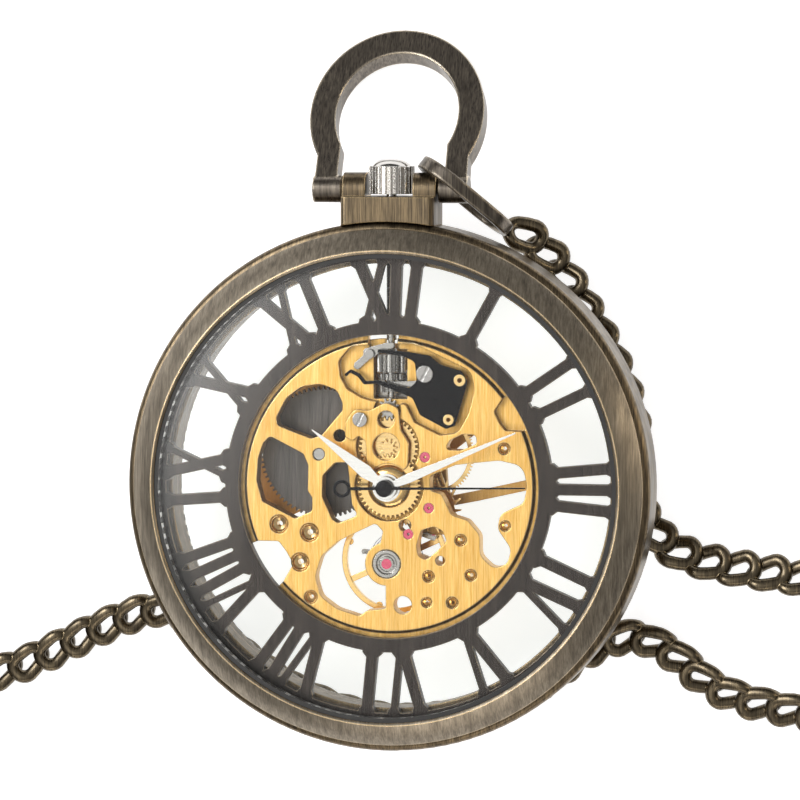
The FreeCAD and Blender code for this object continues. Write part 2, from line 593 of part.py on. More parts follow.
def main_plate():
    plate = turned([
        (0, PLATE_LOW), (PLATE_R, PLATE_LOW), (PLATE_R, PLATE_LOW + 0.4),
        (PLATE_R + PLATE_FLANGE, PLATE_LOW + 0.4), (PLATE_R + PLATE_FLANGE, RING_LOW),
        (PLATE_R, RING_LOW), (PLATE_R, PLATE_TOP - 0.22), (PLATE_R - 0.22, PLATE_TOP),
        (0, PLATE_TOP)])
    through = (PLATE_LOW - 1, PLATE_TOP + 1)
    windows = [slab(outline(w), *through) for w in
               (BARREL_WINDOW, SIDE_WINDOW, HAND_WINDOW, TRAIN_WINDOW, UPPER_WINDOW,
                PALLET_WINDOW)]
    windows.append(slab(rim_notch(203, 222, 1.9), *through))
    balance = slab(outline(BALANCE_WINDOW), *through).cut(disc(1.95, *through, BALANCE))
    recess = [slab(outline(KEYLESS_RECESS), FLOOR, PLATE_TOP + 1),
              slab(rim_notch(23, 38, 1.5), FLOOR, PLATE_TOP + 1),
              disc(3.1, FLOOR, PLATE_TOP + 1), disc(2.85, FLOOR, PLATE_TOP + 1, MINUTE),
              disc(1.2, FLOOR, PLATE_TOP + 1, SETTING_AT)]
    holes = [disc(r, *through, at) for at, r in PLAIN_HOLES]
    holes += [disc(r, *through, at) for at, r in GOLD_BUSHES]
    holes += [disc(CENTRE_R + RUN, *through), disc(0.55, *through, BARREL),
              disc(1.3, *through, BALANCE), disc(0.3, *through, CASE_SCREWS[0]),
              disc(0.3, *through, CASE_SCREWS[1]), disc(0.3, *through, CASE_SCREWS[2])]
    for at in (THIRD, ESCAPE, PALLET):
        holes += [disc(JEWEL_R, PLATE_TOP - 0.5, PLATE_TOP + 1, at),
                  disc(0.3, PLATE_LOW - 1, PLATE_TOP, at)]
    works = Part.makeBox(3.0, 4.4, PLATE_THICK + 2, Vec(-1.5, 7.75, PLATE_LOW - 1))
    channel = along_y(Part.makeCylinder(STEM_R + 0.1, 6), y=11.0, z=STEM_Z)
    pilot = along_y(Part.makeCylinder(0.15 + RUN, 2.5), y=6.0, z=STEM_Z)
    slot = Part.makeBox(2.7, 2.5, 2, Vec(-1.9, 11.9, STEM_Z))
    posts = [disc(0.25, PLATE_LOW - 1, PLATE_LOW + 0.6, at)
             for at in (*BRIDGE_POSTS, *TRAIN_POSTS, *PALLET_POSTS, COCK_SCREW)]
    screw_holes = [disc(0.35, PLATE_LOW - 1, PLATE_TOP + 1, (3.3, 10.06)),
                   disc(0.52, FLOOR - 0.4, PLATE_TOP, (6.42, 9.53)),
                   disc(0.48, FLOOR - 0.4, PLATE_TOP, (5.42, 6.03)),
                   disc(0.3, PLATE_LOW + 0.4, PLATE_TOP + 1, (-2.52, 5.95)),
                   disc(0.2, FLOOR - 0.25, PLATE_TOP, LEVER_PIVOT),
                   disc(0.2, FLOOR - 0.25, PLATE_TOP, YOKE_PIVOT),
                   disc(0.2, FLOOR - 0.25, PLATE_TOP, MINUTE),
                   disc(0.2, FLOOR - 0.25, PLATE_TOP, SETTING_AT)]
    plate = plate.cut(windows + [balance])
    plate = plate.cut(recess + [works, channel, pilot, slot])
    return plate.cut(holes + posts + screw_holes).removeSplitter()


def plate_bushes():
    """Brass bushes set level with the plate, each with a stepped bore, two tall
    ones under the black cover and the two studs of the motion work."""
    pieces = []
    for at, r in GOLD_BUSHES:
        bush = turned([(0.3 * r, PLATE_LOW + 0.1), (r, PLATE_LOW + 0.1), (r, PLATE_TOP - 0.12),
                       (0.82 * r, PLATE_TOP + 0.02), (0.66 * r, PLATE_TOP - 0.3),
                       (0.3 * r, PLATE_TOP - 0.45)])
        pieces.append(placed(bush, at))
    for at, r in (((6.42, 9.53), .52), ((5.42, 6.03), .48)):
        pieces.append(ring(r, 0.4 * r, FLOOR - 0.4, PLATE_TOP + 0.42, at))
    for at in (MINUTE, SETTING_AT, LEVER_PIVOT, YOKE_PIVOT):
        pieces.append(disc(0.2, FLOOR - 0.25, FLOOR + 0.5, at))
    return Part.Compound(pieces)


def minute_train_bridge():
    shape = outline([
        (-3.9, 4.4, .3), (-3.85, 5.7, .8), (-3.1, 6.85, .7), (-1.7, 6.75, .5), (-.2, 7.5, .8),
        (.9, 7.0, .6), (1.1, 5.1, .5), (1.85, 3.9, .9), (1.75, 1.9, .6), (1.2, 1.3),
        (-1.5, 1.3), (-1.95, 2.2, .3), (-2.05, 4.0, .3), (-2.7, 4.55, .3), (-3.2, 4.0, .3)])
    body = slab(shape, PLATE_TOP, PLATE_TOP + 0.35, [
        circle(0.3, (-2.52, 5.95)), circle(0.78, (-0.2, 5.98)), circle(1.22, (-0.2, 3.55))])
    return body.cut(disc(2.05, PLATE_TOP - 1, PLATE_TOP + 1))


def dial_side_screws():
    pieces = [screw((3.3, 10.06), .75, .35, PLATE_TOP + 0.33, PLATE_TOP + 0.6, PLATE_LOW + 0.2),
              screw((-2.52, 5.95), .65, .3, PLATE_TOP + 0.35, PLATE_TOP + 0.65, PLATE_LOW + 0.4)]
    for at in (LEVER_PIVOT, YOKE_PIVOT):
        pieces.append(disc(0.42, FLOOR + 0.5, FLOOR + 0.72, at))
    for at in CASE_SCREWS:
        pieces.append(screw(at, .5, .3, PLATE_LOW + 0.4, PLATE_LOW + 0.05, RING_LOW + 0.5))
    return Part.Compound(pieces)


# ---- numeral ring ----

def stroke(outer_angle, inner_angle, width, inner_r, outer_r):
    """A bar of a numeral from the inner to the outer band, flared at its foot;
    angles run clockwise from 12 o'clock."""
    a = polar(inner_r - 0.4, 90 - inner_angle)
    b = polar(outer_r + 0.4, 90 - outer_angle)
    run = Vec(b[0] - a[0], b[1] - a[1], 0)
    length = run.Length
    half = width / 2
    foot = half + 0.38
    shape = polygon([(0, -foot), (0.55, -foot), (0.95, -half), (length - 0.95, -half),
                     (length - 0.55, -foot + 0.12), (length, -foot + 0.12),
                     (length, foot - 0.12), (length - 0.55, foot - 0.12),
                     (length - 0.95, half), (0.95, half), (0.55, foot), (0, foot)])
    bar = slab(shape, RING_LOW, RING_TOP)
    return placed(bar, a, bearing(a, b))


NUMERALS = {  # clock angle of each letter, in reading order
    "XII": (355.5, 2.2, 7.5), "I": (29,), "II": (55.5, 64), "III": (84.5, 90, 95.5),
    "IV": (114.5, 124.5), "V": (151,), "VI": (175, 185.5), "VII": (205.4, 212, 216.5),
    "VIII": (233.5, 240.6, 245.2, 250), "IX": (265.6, 276), "X": (300.6,), "XI": (328, 337.5)}
WIDE, THIN = 1.0, 0.62


def numeral_ring():
    inner_r = PLATE_R + RING_GAP
    inner_out = inner_r + RING_INNER_BAND
    outer_r = BEZEL_FOOT - 1.4
    outer_in = outer_r - RING_OUTER_BAND
    bands = [ring(inner_out, inner_r, RING_LOW, RING_TOP),
             ring(outer_r, outer_in, RING_LOW, RING_TOP)]
    bars = []
    for letters, angles in NUMERALS.items():
        for letter, angle in zip(letters, angles):
            if letter == "I":
                bars.append(stroke(angle, angle, WIDE, inner_out, outer_in))
            elif letter == "V":
                bars.append(stroke(angle - 3.5, angle - 0.3, WIDE, inner_out, outer_in))
                bars.append(stroke(angle + 3.7, angle + 0.6, THIN, inner_out, outer_in))
            else:
                bars.append(stroke(angle - 3.4, angle + 3.6, WIDE, inner_out, outer_in))
                bars.append(stroke(angle + 3.4, angle - 3.6, THIN, inner_out, outer_in))
    body = bands[0].fuse(bands[1:] + bars).removeSplitter()
    screws = [disc(0.3, RING_LOW - 1, RING_LOW + 0.5, at) for at in CASE_SCREWS]
    return body.cut(screws)


# ---- bridges under the plate ----

def post(at, radius, low):
    return disc(radius, low, PLATE_LOW, at)


def strap(points, width, low, high):
    """A flat arm with round ends through a run of points."""
    pieces = []
    for a, b in zip(points, points[1:]):
        box = Part.makeBox(distance(a, b), width, high - low, Vec(0, -width / 2, 0))
        pieces += [placed(box, a, bearing(a, b), low), disc(width / 2, low, high, b)]
    return disc(width / 2, low, high, points[0]).fuse(pieces)


def barrel_bridge():
    low, high = drop(3.8), drop(2.8)
    shape = outline([
        (-12.4, -2.4, .9), (-11.3, -3.9, .8), (-8.2, -2.4, 1.5), (-5.2, -1.6, .9), (-4.2, .9, .8),
        (-3.3, 3.3, 1.0), (-.5, 5.2, 1.5), (2.6, 6.6, 1.2), (3.2, 9.6, 1.6), (.4, 12.4, 1.2),
        (-2.6, 12.5, .8), (-5.4, 10.6, 1.5), (-8.2, 10.5, .8), (-11.4, 6.2, 2.5), (-12.7, 1.0, 2.0)])
    body = slab(shape, low, high)
    body = body.fuse([post(at, .6, high - 0.1) for at in BRIDGE_POSTS]).removeSplitter()
    holes = [disc(.25, low - 1, PLATE_LOW + 1, at) for at in BRIDGE_POSTS]
    holes += [disc(.55, low - 1, high + 1, at) for at in (BARREL, CROWN_WHEEL)]
    holes += [disc(.5, low - 1, low + 0.15, at) for at in BRIDGE_POSTS]
    holes.append(disc(.3, low - 1, low + 0.5, CLICK_AT))
    return body.cut(holes)


def train_bridge():
    low, high = drop(4.2), drop(3.4)
    arms = [strap([TRAIN_POSTS[0], THIRD, CENTRE], 1.8, low, high),
            strap([THIRD, ESCAPE], 1.8, low, high),
            strap([ESCAPE, TRAIN_POSTS[1]], 1.5, low, high),
            strap([(6.9, -1.2), TRAIN_POSTS[2]], 0.9, low, high),
            strap([ESCAPE, (6.9, -1.2)], 0.9, low, high)]
    posts = [post(TRAIN_POSTS[0], .9, high - 0.1), post(TRAIN_POSTS[1], .75, high - 0.1),
             post(TRAIN_POSTS[2], .4, high - 0.1)]
    body = arms[0].fuse(arms[1:] + posts).removeSplitter()
    holes = [disc(.25, low - 1, PLATE_LOW + 1, at) for at in TRAIN_POSTS]
    holes += [disc(JEWEL_R, low + 0.15, high, at) for at in (THIRD, ESCAPE, CENTRE)]
    holes += [disc(.28, low - 1, high, at) for at in (THIRD, ESCAPE, CENTRE)]
    return body.cut(holes)


def balance_cock():
    low, high = drop(4.2), drop(3.4)
    arm = strap([COCK_FOOT, BALANCE], 2.4, low, high)
    foot = disc(1.6, low, PLATE_LOW, COCK_FOOT)
    body = fused(arm, foot, disc(1.5, low, high, BALANCE))
    holes = [disc(.25, low - 1, PLATE_LOW + 1, COCK_SCREW), disc(.5, low - 1, low + 0.2, COCK_SCREW),
             disc(JEWEL_R, low + 0.15, high, BALANCE), disc(.28, low - 1, high, BALANCE)]
    return body.cut(holes)


def pallet_cock():
    low, high = drop(2.2), drop(1.9)
    arm = strap([PALLET_POSTS[0], PALLET, PALLET_POSTS[1]], 1.0, low, high)
    body = fused(arm, *[post(at, .4, low) for at in PALLET_POSTS])
    holes = [disc(.2, low - 1, PLATE_LOW + 1, at) for at in PALLET_POSTS]
    return body.cut(holes + [disc(.12, low - 1, high + 1, PALLET)])


def bridge_screws():
    """The screws that hold the bridges up to the plate."""
    end = PLATE_LOW + 0.55
    pieces = [screw(at, .5, .25, drop(3.8) + 0.15, drop(3.8) - 0.15, end) for at in BRIDGE_POSTS]
    for at, head in zip(TRAIN_POSTS, (.6, .55, .4)):
        pieces.append(screw(at, head, .25, drop(4.2), drop(4.2) - 0.25, end))
    pieces.append(screw(COCK_SCREW, .5, .25, drop(4.2) + 0.2, drop(4.2) - 0.1, end))
    for at in PALLET_POSTS:
        pieces.append(screw(at, .35, .2, drop(2.2), drop(2.2) - 0.12, end))
    return Part.Compound(pieces)


def jewels():
    """Pierced stones for the pivots, in the plate and in the bridges."""
    pieces = [ring(JEWEL_R, .13, PLATE_TOP - 0.5, PLATE_TOP - 0.06, at)
              for at in (THIRD, ESCAPE, PALLET)]
    pieces += [ring(JEWEL_R, .13, drop(4.05), drop(3.45), at) for at in (THIRD, ESCAPE, BALANCE)]
    pieces.append(ring(JEWEL_R, SECONDS_R + RUN, drop(4.05), drop(3.45), CENTRE))
    pieces.append(disc(JEWEL_R, PLATE_TOP - 0.4, PLATE_TOP, BALANCE))
    return Part.Compound(pieces)


def shock_setting():
    """The stepped steel seat and its clip round the balance stone."""
    high = PLATE_TOP + 0.05
    body = turned([(JEWEL_R, PLATE_LOW + 0.7), (1.3, PLATE_LOW + 0.7), (1.3, high - 0.1),
                   (1.2, high), (0.95, high), (0.85, high - 0.2), (0.7, high - 0.2),
                   (0.62, high - 0.08), (JEWEL_R, high - 0.08)])
    return placed(body, BALANCE)


def regulator():
    """The index over the balance cock, with its two curb pins."""
    low, high = drop(4.5), drop(4.2)
    arm = strap([BALANCE, (-3.4, -6.4)], .45, low, high)
    body = fused(arm, disc(1.1, low, high, BALANCE))
    pins = [disc(.06, low, drop(3.0), (-2.95 - dx, -6.47)) for dx in (0.0, 0.3)]
    return body.fuse(pins).removeSplitter().cut(disc(.5, low - 1, high + 1, BALANCE))


def hairspring():
    return spiral(BALANCE, .8, .2, 8.5, .05, drop(3.2), drop(3.0), start=10)


# ---- going train ----

CLICK_AT = (-10.9, -1.9)
R_BARREL = distance(CENTRE, BARREL) * BARREL_TEETH / (BARREL_TEETH + CENTRE_LEAVES)
R_CENTRE_PINION = distance(CENTRE, BARREL) - R_BARREL
R_CENTRE = distance(CENTRE, THIRD) * CENTRE_TEETH / (CENTRE_TEETH + THIRD_LEAVES)
R_THIRD_PINION = distance(CENTRE, THIRD) - R_CENTRE
R_THIRD = distance(CENTRE, THIRD) * THIRD_TEETH / (THIRD_TEETH + FOURTH_LEAVES)
R_FOURTH_PINION = distance(CENTRE, THIRD) - R_THIRD
R_FOURTH = distance(CENTRE, ESCAPE) * FOURTH_TEETH / (FOURTH_TEETH + ESCAPE_LEAVES)
R_ESCAPE_PINION = distance(CENTRE, ESCAPE) - R_FOURTH
R_MINUTE = distance(CENTRE, MINUTE) * MINUTE_TEETH / (MINUTE_TEETH + CANNON_TEETH)
R_CANNON = distance(CENTRE, MINUTE) - R_MINUTE
R_HOUR = distance(CENTRE, MINUTE) * HOUR_TEETH / (HOUR_TEETH + MINUTE_LEAVES)
R_MINUTE_PINION = distance(CENTRE, MINUTE) - R_HOUR
R_RATCHET = distance(BARREL, CROWN_WHEEL) * RATCHET_TEETH / (RATCHET_TEETH + CROWN_TEETH)
R_CROWN = distance(BARREL, CROWN_WHEEL) - R_RATCHET


def barrel_drum():
    """The toothed drum, open below."""
    phase = tooth_phase(0, CENTRE_LEAVES, CENTRE, BARREL, BARREL_TEETH)
    wheel = spur(BARREL_TEETH, R_BARREL, phase, BARREL, drop(1.35), drop(0.85))
    body = fused(wheel, disc(4.2, drop(2.7), drop(0.85), BARREL))
    return body.cut([disc(3.95, drop(2.8), drop(1.1), BARREL),
                     disc(.55, drop(3), drop(0), BARREL)])


def barrel_cover():
    return ring(3.95, .55, drop(2.7), drop(2.45), BARREL)


def barrel_arbor():
    body = disc(.5, drop(4.55), PLATE_TOP - 0.15, BARREL)
    hub = disc(.95, drop(2.35), drop(1.2), BARREL)
    return fused(body, hub)


def mainspring():
    return spiral(BARREL, 1.25, .36, 6.5, .15, drop(2.35), drop(1.2))


def centre_wheel():
    """Hollow centre arbor with its pinion and the centre wheel."""
    wheel = spur(CENTRE_TEETH, R_CENTRE, 0, CENTRE, drop(0.6), drop(0.35), spokes=5, rim=.4,
                 hub=1.0)
    pinion = spur(CENTRE_LEAVES, R_CENTRE_PINION, 0, CENTRE, drop(1.45), drop(0.7))
    tube = disc(CENTRE_R, drop(1.7), PLATE_TOP + 1.5)
    return fused(tube, wheel, pinion).cut(disc(SECONDS_R + 0.06, drop(2), PLATE_TOP + 2))


def cannon_pinion():
    pipe = disc(CANNON_R, PLATE_TOP - 0.72, PLATE_TOP + 1.82)
    leaves = spur(CANNON_TEETH, R_CANNON, 0, CENTRE, PLATE_TOP - 0.72, PLATE_TOP - 0.42)
    return fused(pipe, leaves).cut(disc(CENTRE_R, PLATE_TOP - 1, PLATE_TOP + 2))


def third_wheel():
    pinion_phase = tooth_phase(0, CENTRE_TEETH, CENTRE, THIRD, THIRD_LEAVES)
    wheel_phase = tooth_phase(0, FOURTH_LEAVES, CENTRE, THIRD, THIRD_TEETH)
    wheel = spur(THIRD_TEETH, R_THIRD, wheel_phase, THIRD, drop(2.6), drop(2.4), spokes=5,
                 rim=.35, hub=.6)
    pinion = spur(THIRD_LEAVES, R_THIRD_PINION, pinion_phase, THIRD, drop(.75), drop(.25))
    shaft = arbor(THIRD, .2, drop(3.35), PLATE_TOP - 0.65, .35, .4)
    return fused(shaft, wheel, pinion)


def fourth_wheel():
    """The arbor of the second hand, down the middle of the centre wheel."""
    wheel = spur(FOURTH_TEETH, R_FOURTH, 0, CENTRE, drop(3.25), drop(3.0), spokes=5, rim=.35,
                 hub=.7)
    pinion = spur(FOURTH_LEAVES, R_FOURTH_PINION, 0, CENTRE, drop(2.8), drop(2.2))
    return fused(disc(SECONDS_R, drop(4.0), PLATE_TOP + 2.4), wheel, pinion)


def escape_wheel():
    phase = tooth_phase(0, FOURTH_TEETH, CENTRE, ESCAPE, ESCAPE_LEAVES)
    pinion = spur(ESCAPE_LEAVES, R_ESCAPE_PINION, phase, ESCAPE, drop(3.35), drop(2.9))
    tips = []
    for k in range(15):
        middle = 24 * k
        for radius, turn in ((1.75, 0), (1.85, 4), (2.45, 13.5), (2.45, 16), (1.85, 14)):
            tips.append(polar(radius, middle + turn, ESCAPE))
    openings = toothed(30, 1.75, 0, ESCAPE, spokes=4, rim=.28, hub=.4)[1]
    wheel = slab(polygon(tips), drop(1.6), drop(1.4), openings)
    shaft = arbor(ESCAPE, .14, drop(3.35), PLATE_TOP - 0.65, .35, .4, .08)
    return fused(shaft, wheel, pinion)


def pallet_point(radius, swing):
    """A point about the escape wheel, off the line to the pallet arbor."""
    return polar(radius, bearing(ESCAPE, PALLET) + swing, ESCAPE)


def pallet_fork():
    low, high = drop(1.6), drop(1.4)
    arms = strap([pallet_point(2.95, -36), PALLET, pallet_point(2.95, 36)], .45, low, high)
    aim = bearing(PALLET, BALANCE)
    reach = distance(PALLET, BALANCE) - 1.25
    lever = strap([PALLET, polar(reach - 0.3, aim, PALLET)], .34, low, high)
    horns = [strap([polar(reach - 0.35, aim, PALLET), polar(reach, aim + side, PALLET)], .18, low,
                   high) for side in (-9, 9)]
    shaft = arbor(PALLET, .14, drop(1.85), PLATE_TOP - 0.65, .25, .4, .08)
    return fused(shaft, arms, lever, *horns)


def pallet_stones():
    """Two stones set in the arms of the fork, clear of the escape wheel's tips."""
    stones = []
    for swing in (-36, 36):
        inner, outer = pallet_point(2.62, swing), pallet_point(2.72, swing)
        box = Part.makeBox(.1, .28, .3, Vec(0, -.14, 0))
        stones.append(placed(box, inner, bearing(inner, outer), drop(1.65)))
    return Part.Compound(stones)


def balance_wheel():
    rim = ring(BALANCE_R, BALANCE_R - 0.45, drop(2.9), drop(2.3), BALANCE)
    spread = BALANCE_R - 0.3
    arms = [strap([polar(spread, 25, BALANCE), polar(spread, 205, BALANCE)], .55, drop(2.75),
                  drop(2.45)), disc(.9, drop(2.75), drop(2.45), BALANCE)]
    weights = [disc(.32, drop(3.0), drop(2.9), polar(BALANCE_R - 0.35, a, BALANCE))
               for a in (70, 160, 250, 340)]
    return rim.fuse(arms + weights).removeSplitter().cut(disc(.3, drop(3), drop(2), BALANCE))


def balance_staff():
    shaft = arbor(BALANCE, .3, drop(3.3), PLATE_TOP - 0.9, .3, .4)
    return fused(shaft, disc(1.0, drop(1.7), drop(1.3), BALANCE))


# ---- motion work and hands ----

def minute_wheel():
    wheel_phase = tooth_phase(0, CANNON_TEETH, CENTRE, MINUTE, MINUTE_TEETH)
    wheel = spur(MINUTE_TEETH, R_MINUTE, wheel_phase, MINUTE, PLATE_TOP - 0.7, PLATE_TOP - 0.5)
    pinion = spur(MINUTE_LEAVES, R_MINUTE_PINION, 0, MINUTE, PLATE_TOP - 0.5, PLATE_TOP - 0.08)
    body = fused(wheel, pinion)
    return body.cut(disc(.2 + RUN, FLOOR, FLOOR + 0.55, MINUTE))


def hour_wheel():
    """The hour wheel, its pipe and the domed washer over it."""
    phase = tooth_phase(0, MINUTE_LEAVES, MINUTE, CENTRE, HOUR_TEETH)
    wheel = spur(HOUR_TEETH, R_HOUR, phase, CENTRE, PLATE_TOP - 0.38, PLATE_TOP - 0.12)
    dome = turned([(0, PLATE_TOP - 0.2), (1.9, PLATE_TOP - 0.2), (1.9, PLATE_TOP + 0.1),
                   ("arc", (1.55, PLATE_TOP + 0.38), (1.0, PLATE_TOP + 0.5)),
                   (HOUR_PIPE_R, PLATE_TOP + 0.5), (HOUR_PIPE_R, PLATE_TOP + 1.3),
                   (0, PLATE_TOP + 1.3)])
    return fused(wheel, dome).cut(disc(CANNON_R + 0.06, PLATE_TOP - 1, PLATE_TOP + 2))


def setting_wheel():
    wheel_phase = tooth_phase(0, CANNON_TEETH, CENTRE, MINUTE, MINUTE_TEETH)
    phase = tooth_phase(wheel_phase, MINUTE_TEETH, MINUTE, SETTING_AT, SETTING_TEETH)
    return spur(SETTING_TEETH, R_CANNON, phase, SETTING_AT, PLATE_TOP - 0.72, PLATE_TOP - 0.48,
                bore=.2 + RUN)


def hand(points, boss, bore, low, high, direction):
    """A flat hand from half its outline, mirrored, on a round boss."""
    mirrored = [(x, -y) for x, y in reversed(points) if y]
    body = slab(polygon(points + mirrored), low, high)
    body = fused(body, disc(boss, low, high)).cut(disc(bore, low - 1, high + 1))
    return placed(body, CENTRE, direction)


def hour_hand():
    return hand([(1.0, .35), (2.3, .62), (8.4, .05)], 1.25, HOUR_PIPE_R, PLATE_TOP + 1.15,
                PLATE_TOP + 1.3, 90 - 307)


def minute_hand():
    return hand([(.6, .28), (2.3, .42), (12.7, .06)], 1.0, CANNON_R, PLATE_TOP + 1.7,
                PLATE_TOP + 1.82, 90 - 66.6)


def second_hand():
    low, high = PLATE_TOP + 2.2, PLATE_TOP + 2.3
    blade = slab(polygon([(-3.2, .14), (12.6, .06), (12.6, -.06), (-3.2, -.14)]), low, high)
    weight = ring(.8, .5, low, high, (-3.8, 0))
    hub = turned([(0, PLATE_TOP + 2.1), (.75, PLATE_TOP + 2.1), (.75, PLATE_TOP + 2.45),
                  (.62, PLATE_TOP + 2.55), (.3, PLATE_TOP + 2.55), (.3, PLATE_TOP + 2.7),
                  (0, PLATE_TOP + 2.7)])
    body = fused(blade, weight, hub).cut(disc(SECONDS_R, PLATE_TOP + 2, PLATE_TOP + 2.4))
    return placed(body, CENTRE, 90 - 89)


# ---- winding wheels and click ----

def crown_wheel():
    """Contrate teeth above for the winding pinion, spur teeth below for the ratchet."""
    spur_part = spur(CROWN_TEETH, R_CROWN, 0, CROWN_WHEEL, drop(4.35), drop(3.9))
    contrate = spur(20, 1.85, 0, CROWN_WHEEL, drop(1.35), drop(1.05))
    return fused(disc(.5, drop(4.35), drop(1.05), CROWN_WHEEL), spur_part, contrate)


def ratchet_wheel():
    phase = tooth_phase(0, CROWN_TEETH, CROWN_WHEEL, BARREL, RATCHET_TEETH)
    return spur(RATCHET_TEETH, R_RATCHET, phase, BARREL, drop(4.35), drop(3.9), bore=.5)


def click():
    low, high = drop(4.3), drop(3.95)
    beak = polar(R_RATCHET + 0.32, bearing(BARREL, CLICK_AT) + 16, BARREL)
    body = strap([CLICK_AT, beak], .4, low, high)
    return fused(body, disc(.5, low, high, CLICK_AT), disc(.25, high, drop(3.4), CLICK_AT))


def click_spring():
    return strap([(-12.35, -0.6), (-12.0, -1.9), (-11.55, -2.2)], .2, drop(4.2), drop(3.8))


# ---- chain ----

RING_TURN = -42.7        # plan direction of the bow ring's long axis, degrees
RING_SLOPE = 24.8        # it slopes down to the table
RING_ROLL = 14.2         # and leans outwards
RING_CENTRE = (6.5, 25.7, 7.46)
RING_INNER = (4.36, 2.42)  # inner half length and half width
RING_BAND = (0.7, 1.2)   # thickness in its plane, width across it

CHAIN_ROUTE = (
    (10.3, 22.9), (13.0, 20.5), (15.8, 16.2), (18.6, 11.2), (20.5, 6.2), (20.6, 2.0), (20.8, -2.4),
    (24.0, -6.2), (29.0, -7.5), (34.9, -8.2), (40.0, -8.9), (45.6, -7.4), (51.0, -9.0),
    (54.0, -14.0), (51.4, -19.5), (46.0, -22.4), (40.2, -21.4), (34.9, -20.0), (31.2, -19.4),
    (27.6, -18.0), (24.6, -15.2), (20.8, -13.4), (16.5, -14.9), (12.0, -18.3), (7.0, -20.8),
    (1.6, -21.9), (-4.0, -21.6), (-9.2, -19.9), (-13.9, -17.0), (-18.2, -13.6),
    (-22.6, -11.8), (-27.0, -13.3), (-31.5, -15.5), (-35.9, -17.7), (-40.8, -19.1),
    (-46.0, -19.6), (-51.5, -19.3))
START_HEIGHT = 4.0       # of the first point; the rest lie on the table


def chain_ring():
    """A flat oval ring round the bow's right foot."""
    half_long, half_wide = RING_INNER
    thick, width = RING_BAND

    def oval(extra):
        flat = half_long - half_wide
        r = half_wide + extra
        return outline([(-flat - r, -r, r * 0.999), (flat + r, -r, r * 0.999),
                        (flat + r, r, r * 0.999), (-flat - r, r, r * 0.999)])
    body = slab(oval(thick), -width / 2, width / 2, [oval(0)])
    rims = [e for e in body.Edges if e.BoundBox.ZLength < 1e-6]
    body = body.makeFillet(0.15, rims)
    body.rotate(Vec(0, 0, 0), Vec(1, 0, 0), 90 - RING_ROLL)
    body.rotate(Vec(0, 0, 0), Vec(0, 1, 0), RING_SLOPE)
    body.rotate(Vec(0, 0, 0), Vec(0, 0, 1), RING_TURN)
    body.translate(Vec(*RING_CENTRE))
    return body


def chain_run():
    """The chain's run from the bow ring, under the case's rim, to the coil."""
    points = [Vec(x, y, CHAIN_D / 2) for x, y in CHAIN_ROUTE]
    points[0].z = START_HEIGHT
    edges = []
    here = points[0]
    smallest = 1e9
    for before, corner, after in zip(points, points[1:], points[2:]):
        a, b = before - corner, after - corner
        half = a.getAngle(b) / 2
        back = 0.45 * min(a.Length, b.Length)
        radius = back * math.tan(half)
        smallest = min(smallest, radius)
        a.normalize()
        b.normalize()
        middle = a + b
        middle.normalize()
        start, end = corner + a * back, corner + b * back
        top = corner + middle * (radius / math.sin(half) - radius)
        edges.append(Part.makeLine(here, start))
        edges.append(Part.Arc(start, top, end).toShape())
        here = end
    edges.append(Part.makeLine(here, points[-1]))
    path = Part.Wire(edges)
    total = path.Length
    tangent = (points[1] - points[0]).normalize()
    section = Part.Wire(Part.makeCircle(CHAIN_D / 2, points[0], tangent))
    tube = path.makePipeShell([section], True, False)
    print("chain: least bend radius %.2f, length %.1f, volume against section x length %.4f"
          % (smallest, total, tube.Volume / (math.pi * CHAIN_D ** 2 / 4 * total)))
    return tube


def chain_coil():
    """The rest of the chain, laid round in a ring of one turn and a little."""
    body = ring(COIL_R + CHAIN_D / 2, COIL_R - CHAIN_D / 2 - 1.8, 0, CHAIN_D, COIL_AT)
    return body.cut(chain_run())


CLIP_AT = (COIL_AT[0] + 4.5, COIL_AT[1] - 3.0)


def clip_outline(extra):
    x, y = CLIP_AT
    return outline([(x - 3.2 - extra, y - 4.5, 3.0), (x + 3.2 + extra, y - 4.5, 3.0),
                    (x + 3.2 + extra, y + 7.0 + extra, 2.9 + extra),
                    (x - 3.2 - extra, y + 7.0 + extra, 2.9 + extra)])


def chain_swivel():
    """The body of a swivel clip: an open hook on a round shank with an eye, which
    lies on the coil."""
    x, y = CLIP_AT
    hook = slab(clip_outline(0), .6, 2.4, [outline([
        (x - 1.8, y - 1.6, 1.0), (x + 1.8, y - 1.6, 1.0), (x + 1.8, y + 5.6, 1.75),
        (x - 1.8, y + 5.6, 1.75)])])
    gap = Part.makeBox(3.0, 4.2, 4, Vec(x + 1.2, y - .6, 0))
    shank = disc(1.6, .3, 2.7, (x, y - 5.4))
    neck = strap([(x, y - 5.4), (x, y - 4.0)], 2.0, .6, 2.4)
    slot = Part.makeBox(1.4, 1.6, .8, Vec(x + 1.8, y - 1.75, 1.1))
    body = hook.cut(gap).fuse([shank, neck]).removeSplitter()
    return body.cut([slot, disc(.42, 0, 3, (x + 2.5, y - 1.25))])


def chain_gate():
    """The sprung gate of the clip, on its own pin."""
    x, y = CLIP_AT
    bar = strap([(x + 2.5, y - 1.25 + 1.3), (x + 2.5, y + 3.0)], 1.0, .8, 2.2)
    pin = disc(.37, .6, 2.4, (x + 2.5, y - 1.25))
    link = strap([(x + 2.5, y - 1.25), (x + 2.5, y)], .7, 1.2, 1.8)
    return fused(bar, link, pin)


# ---- write every sub-part ----

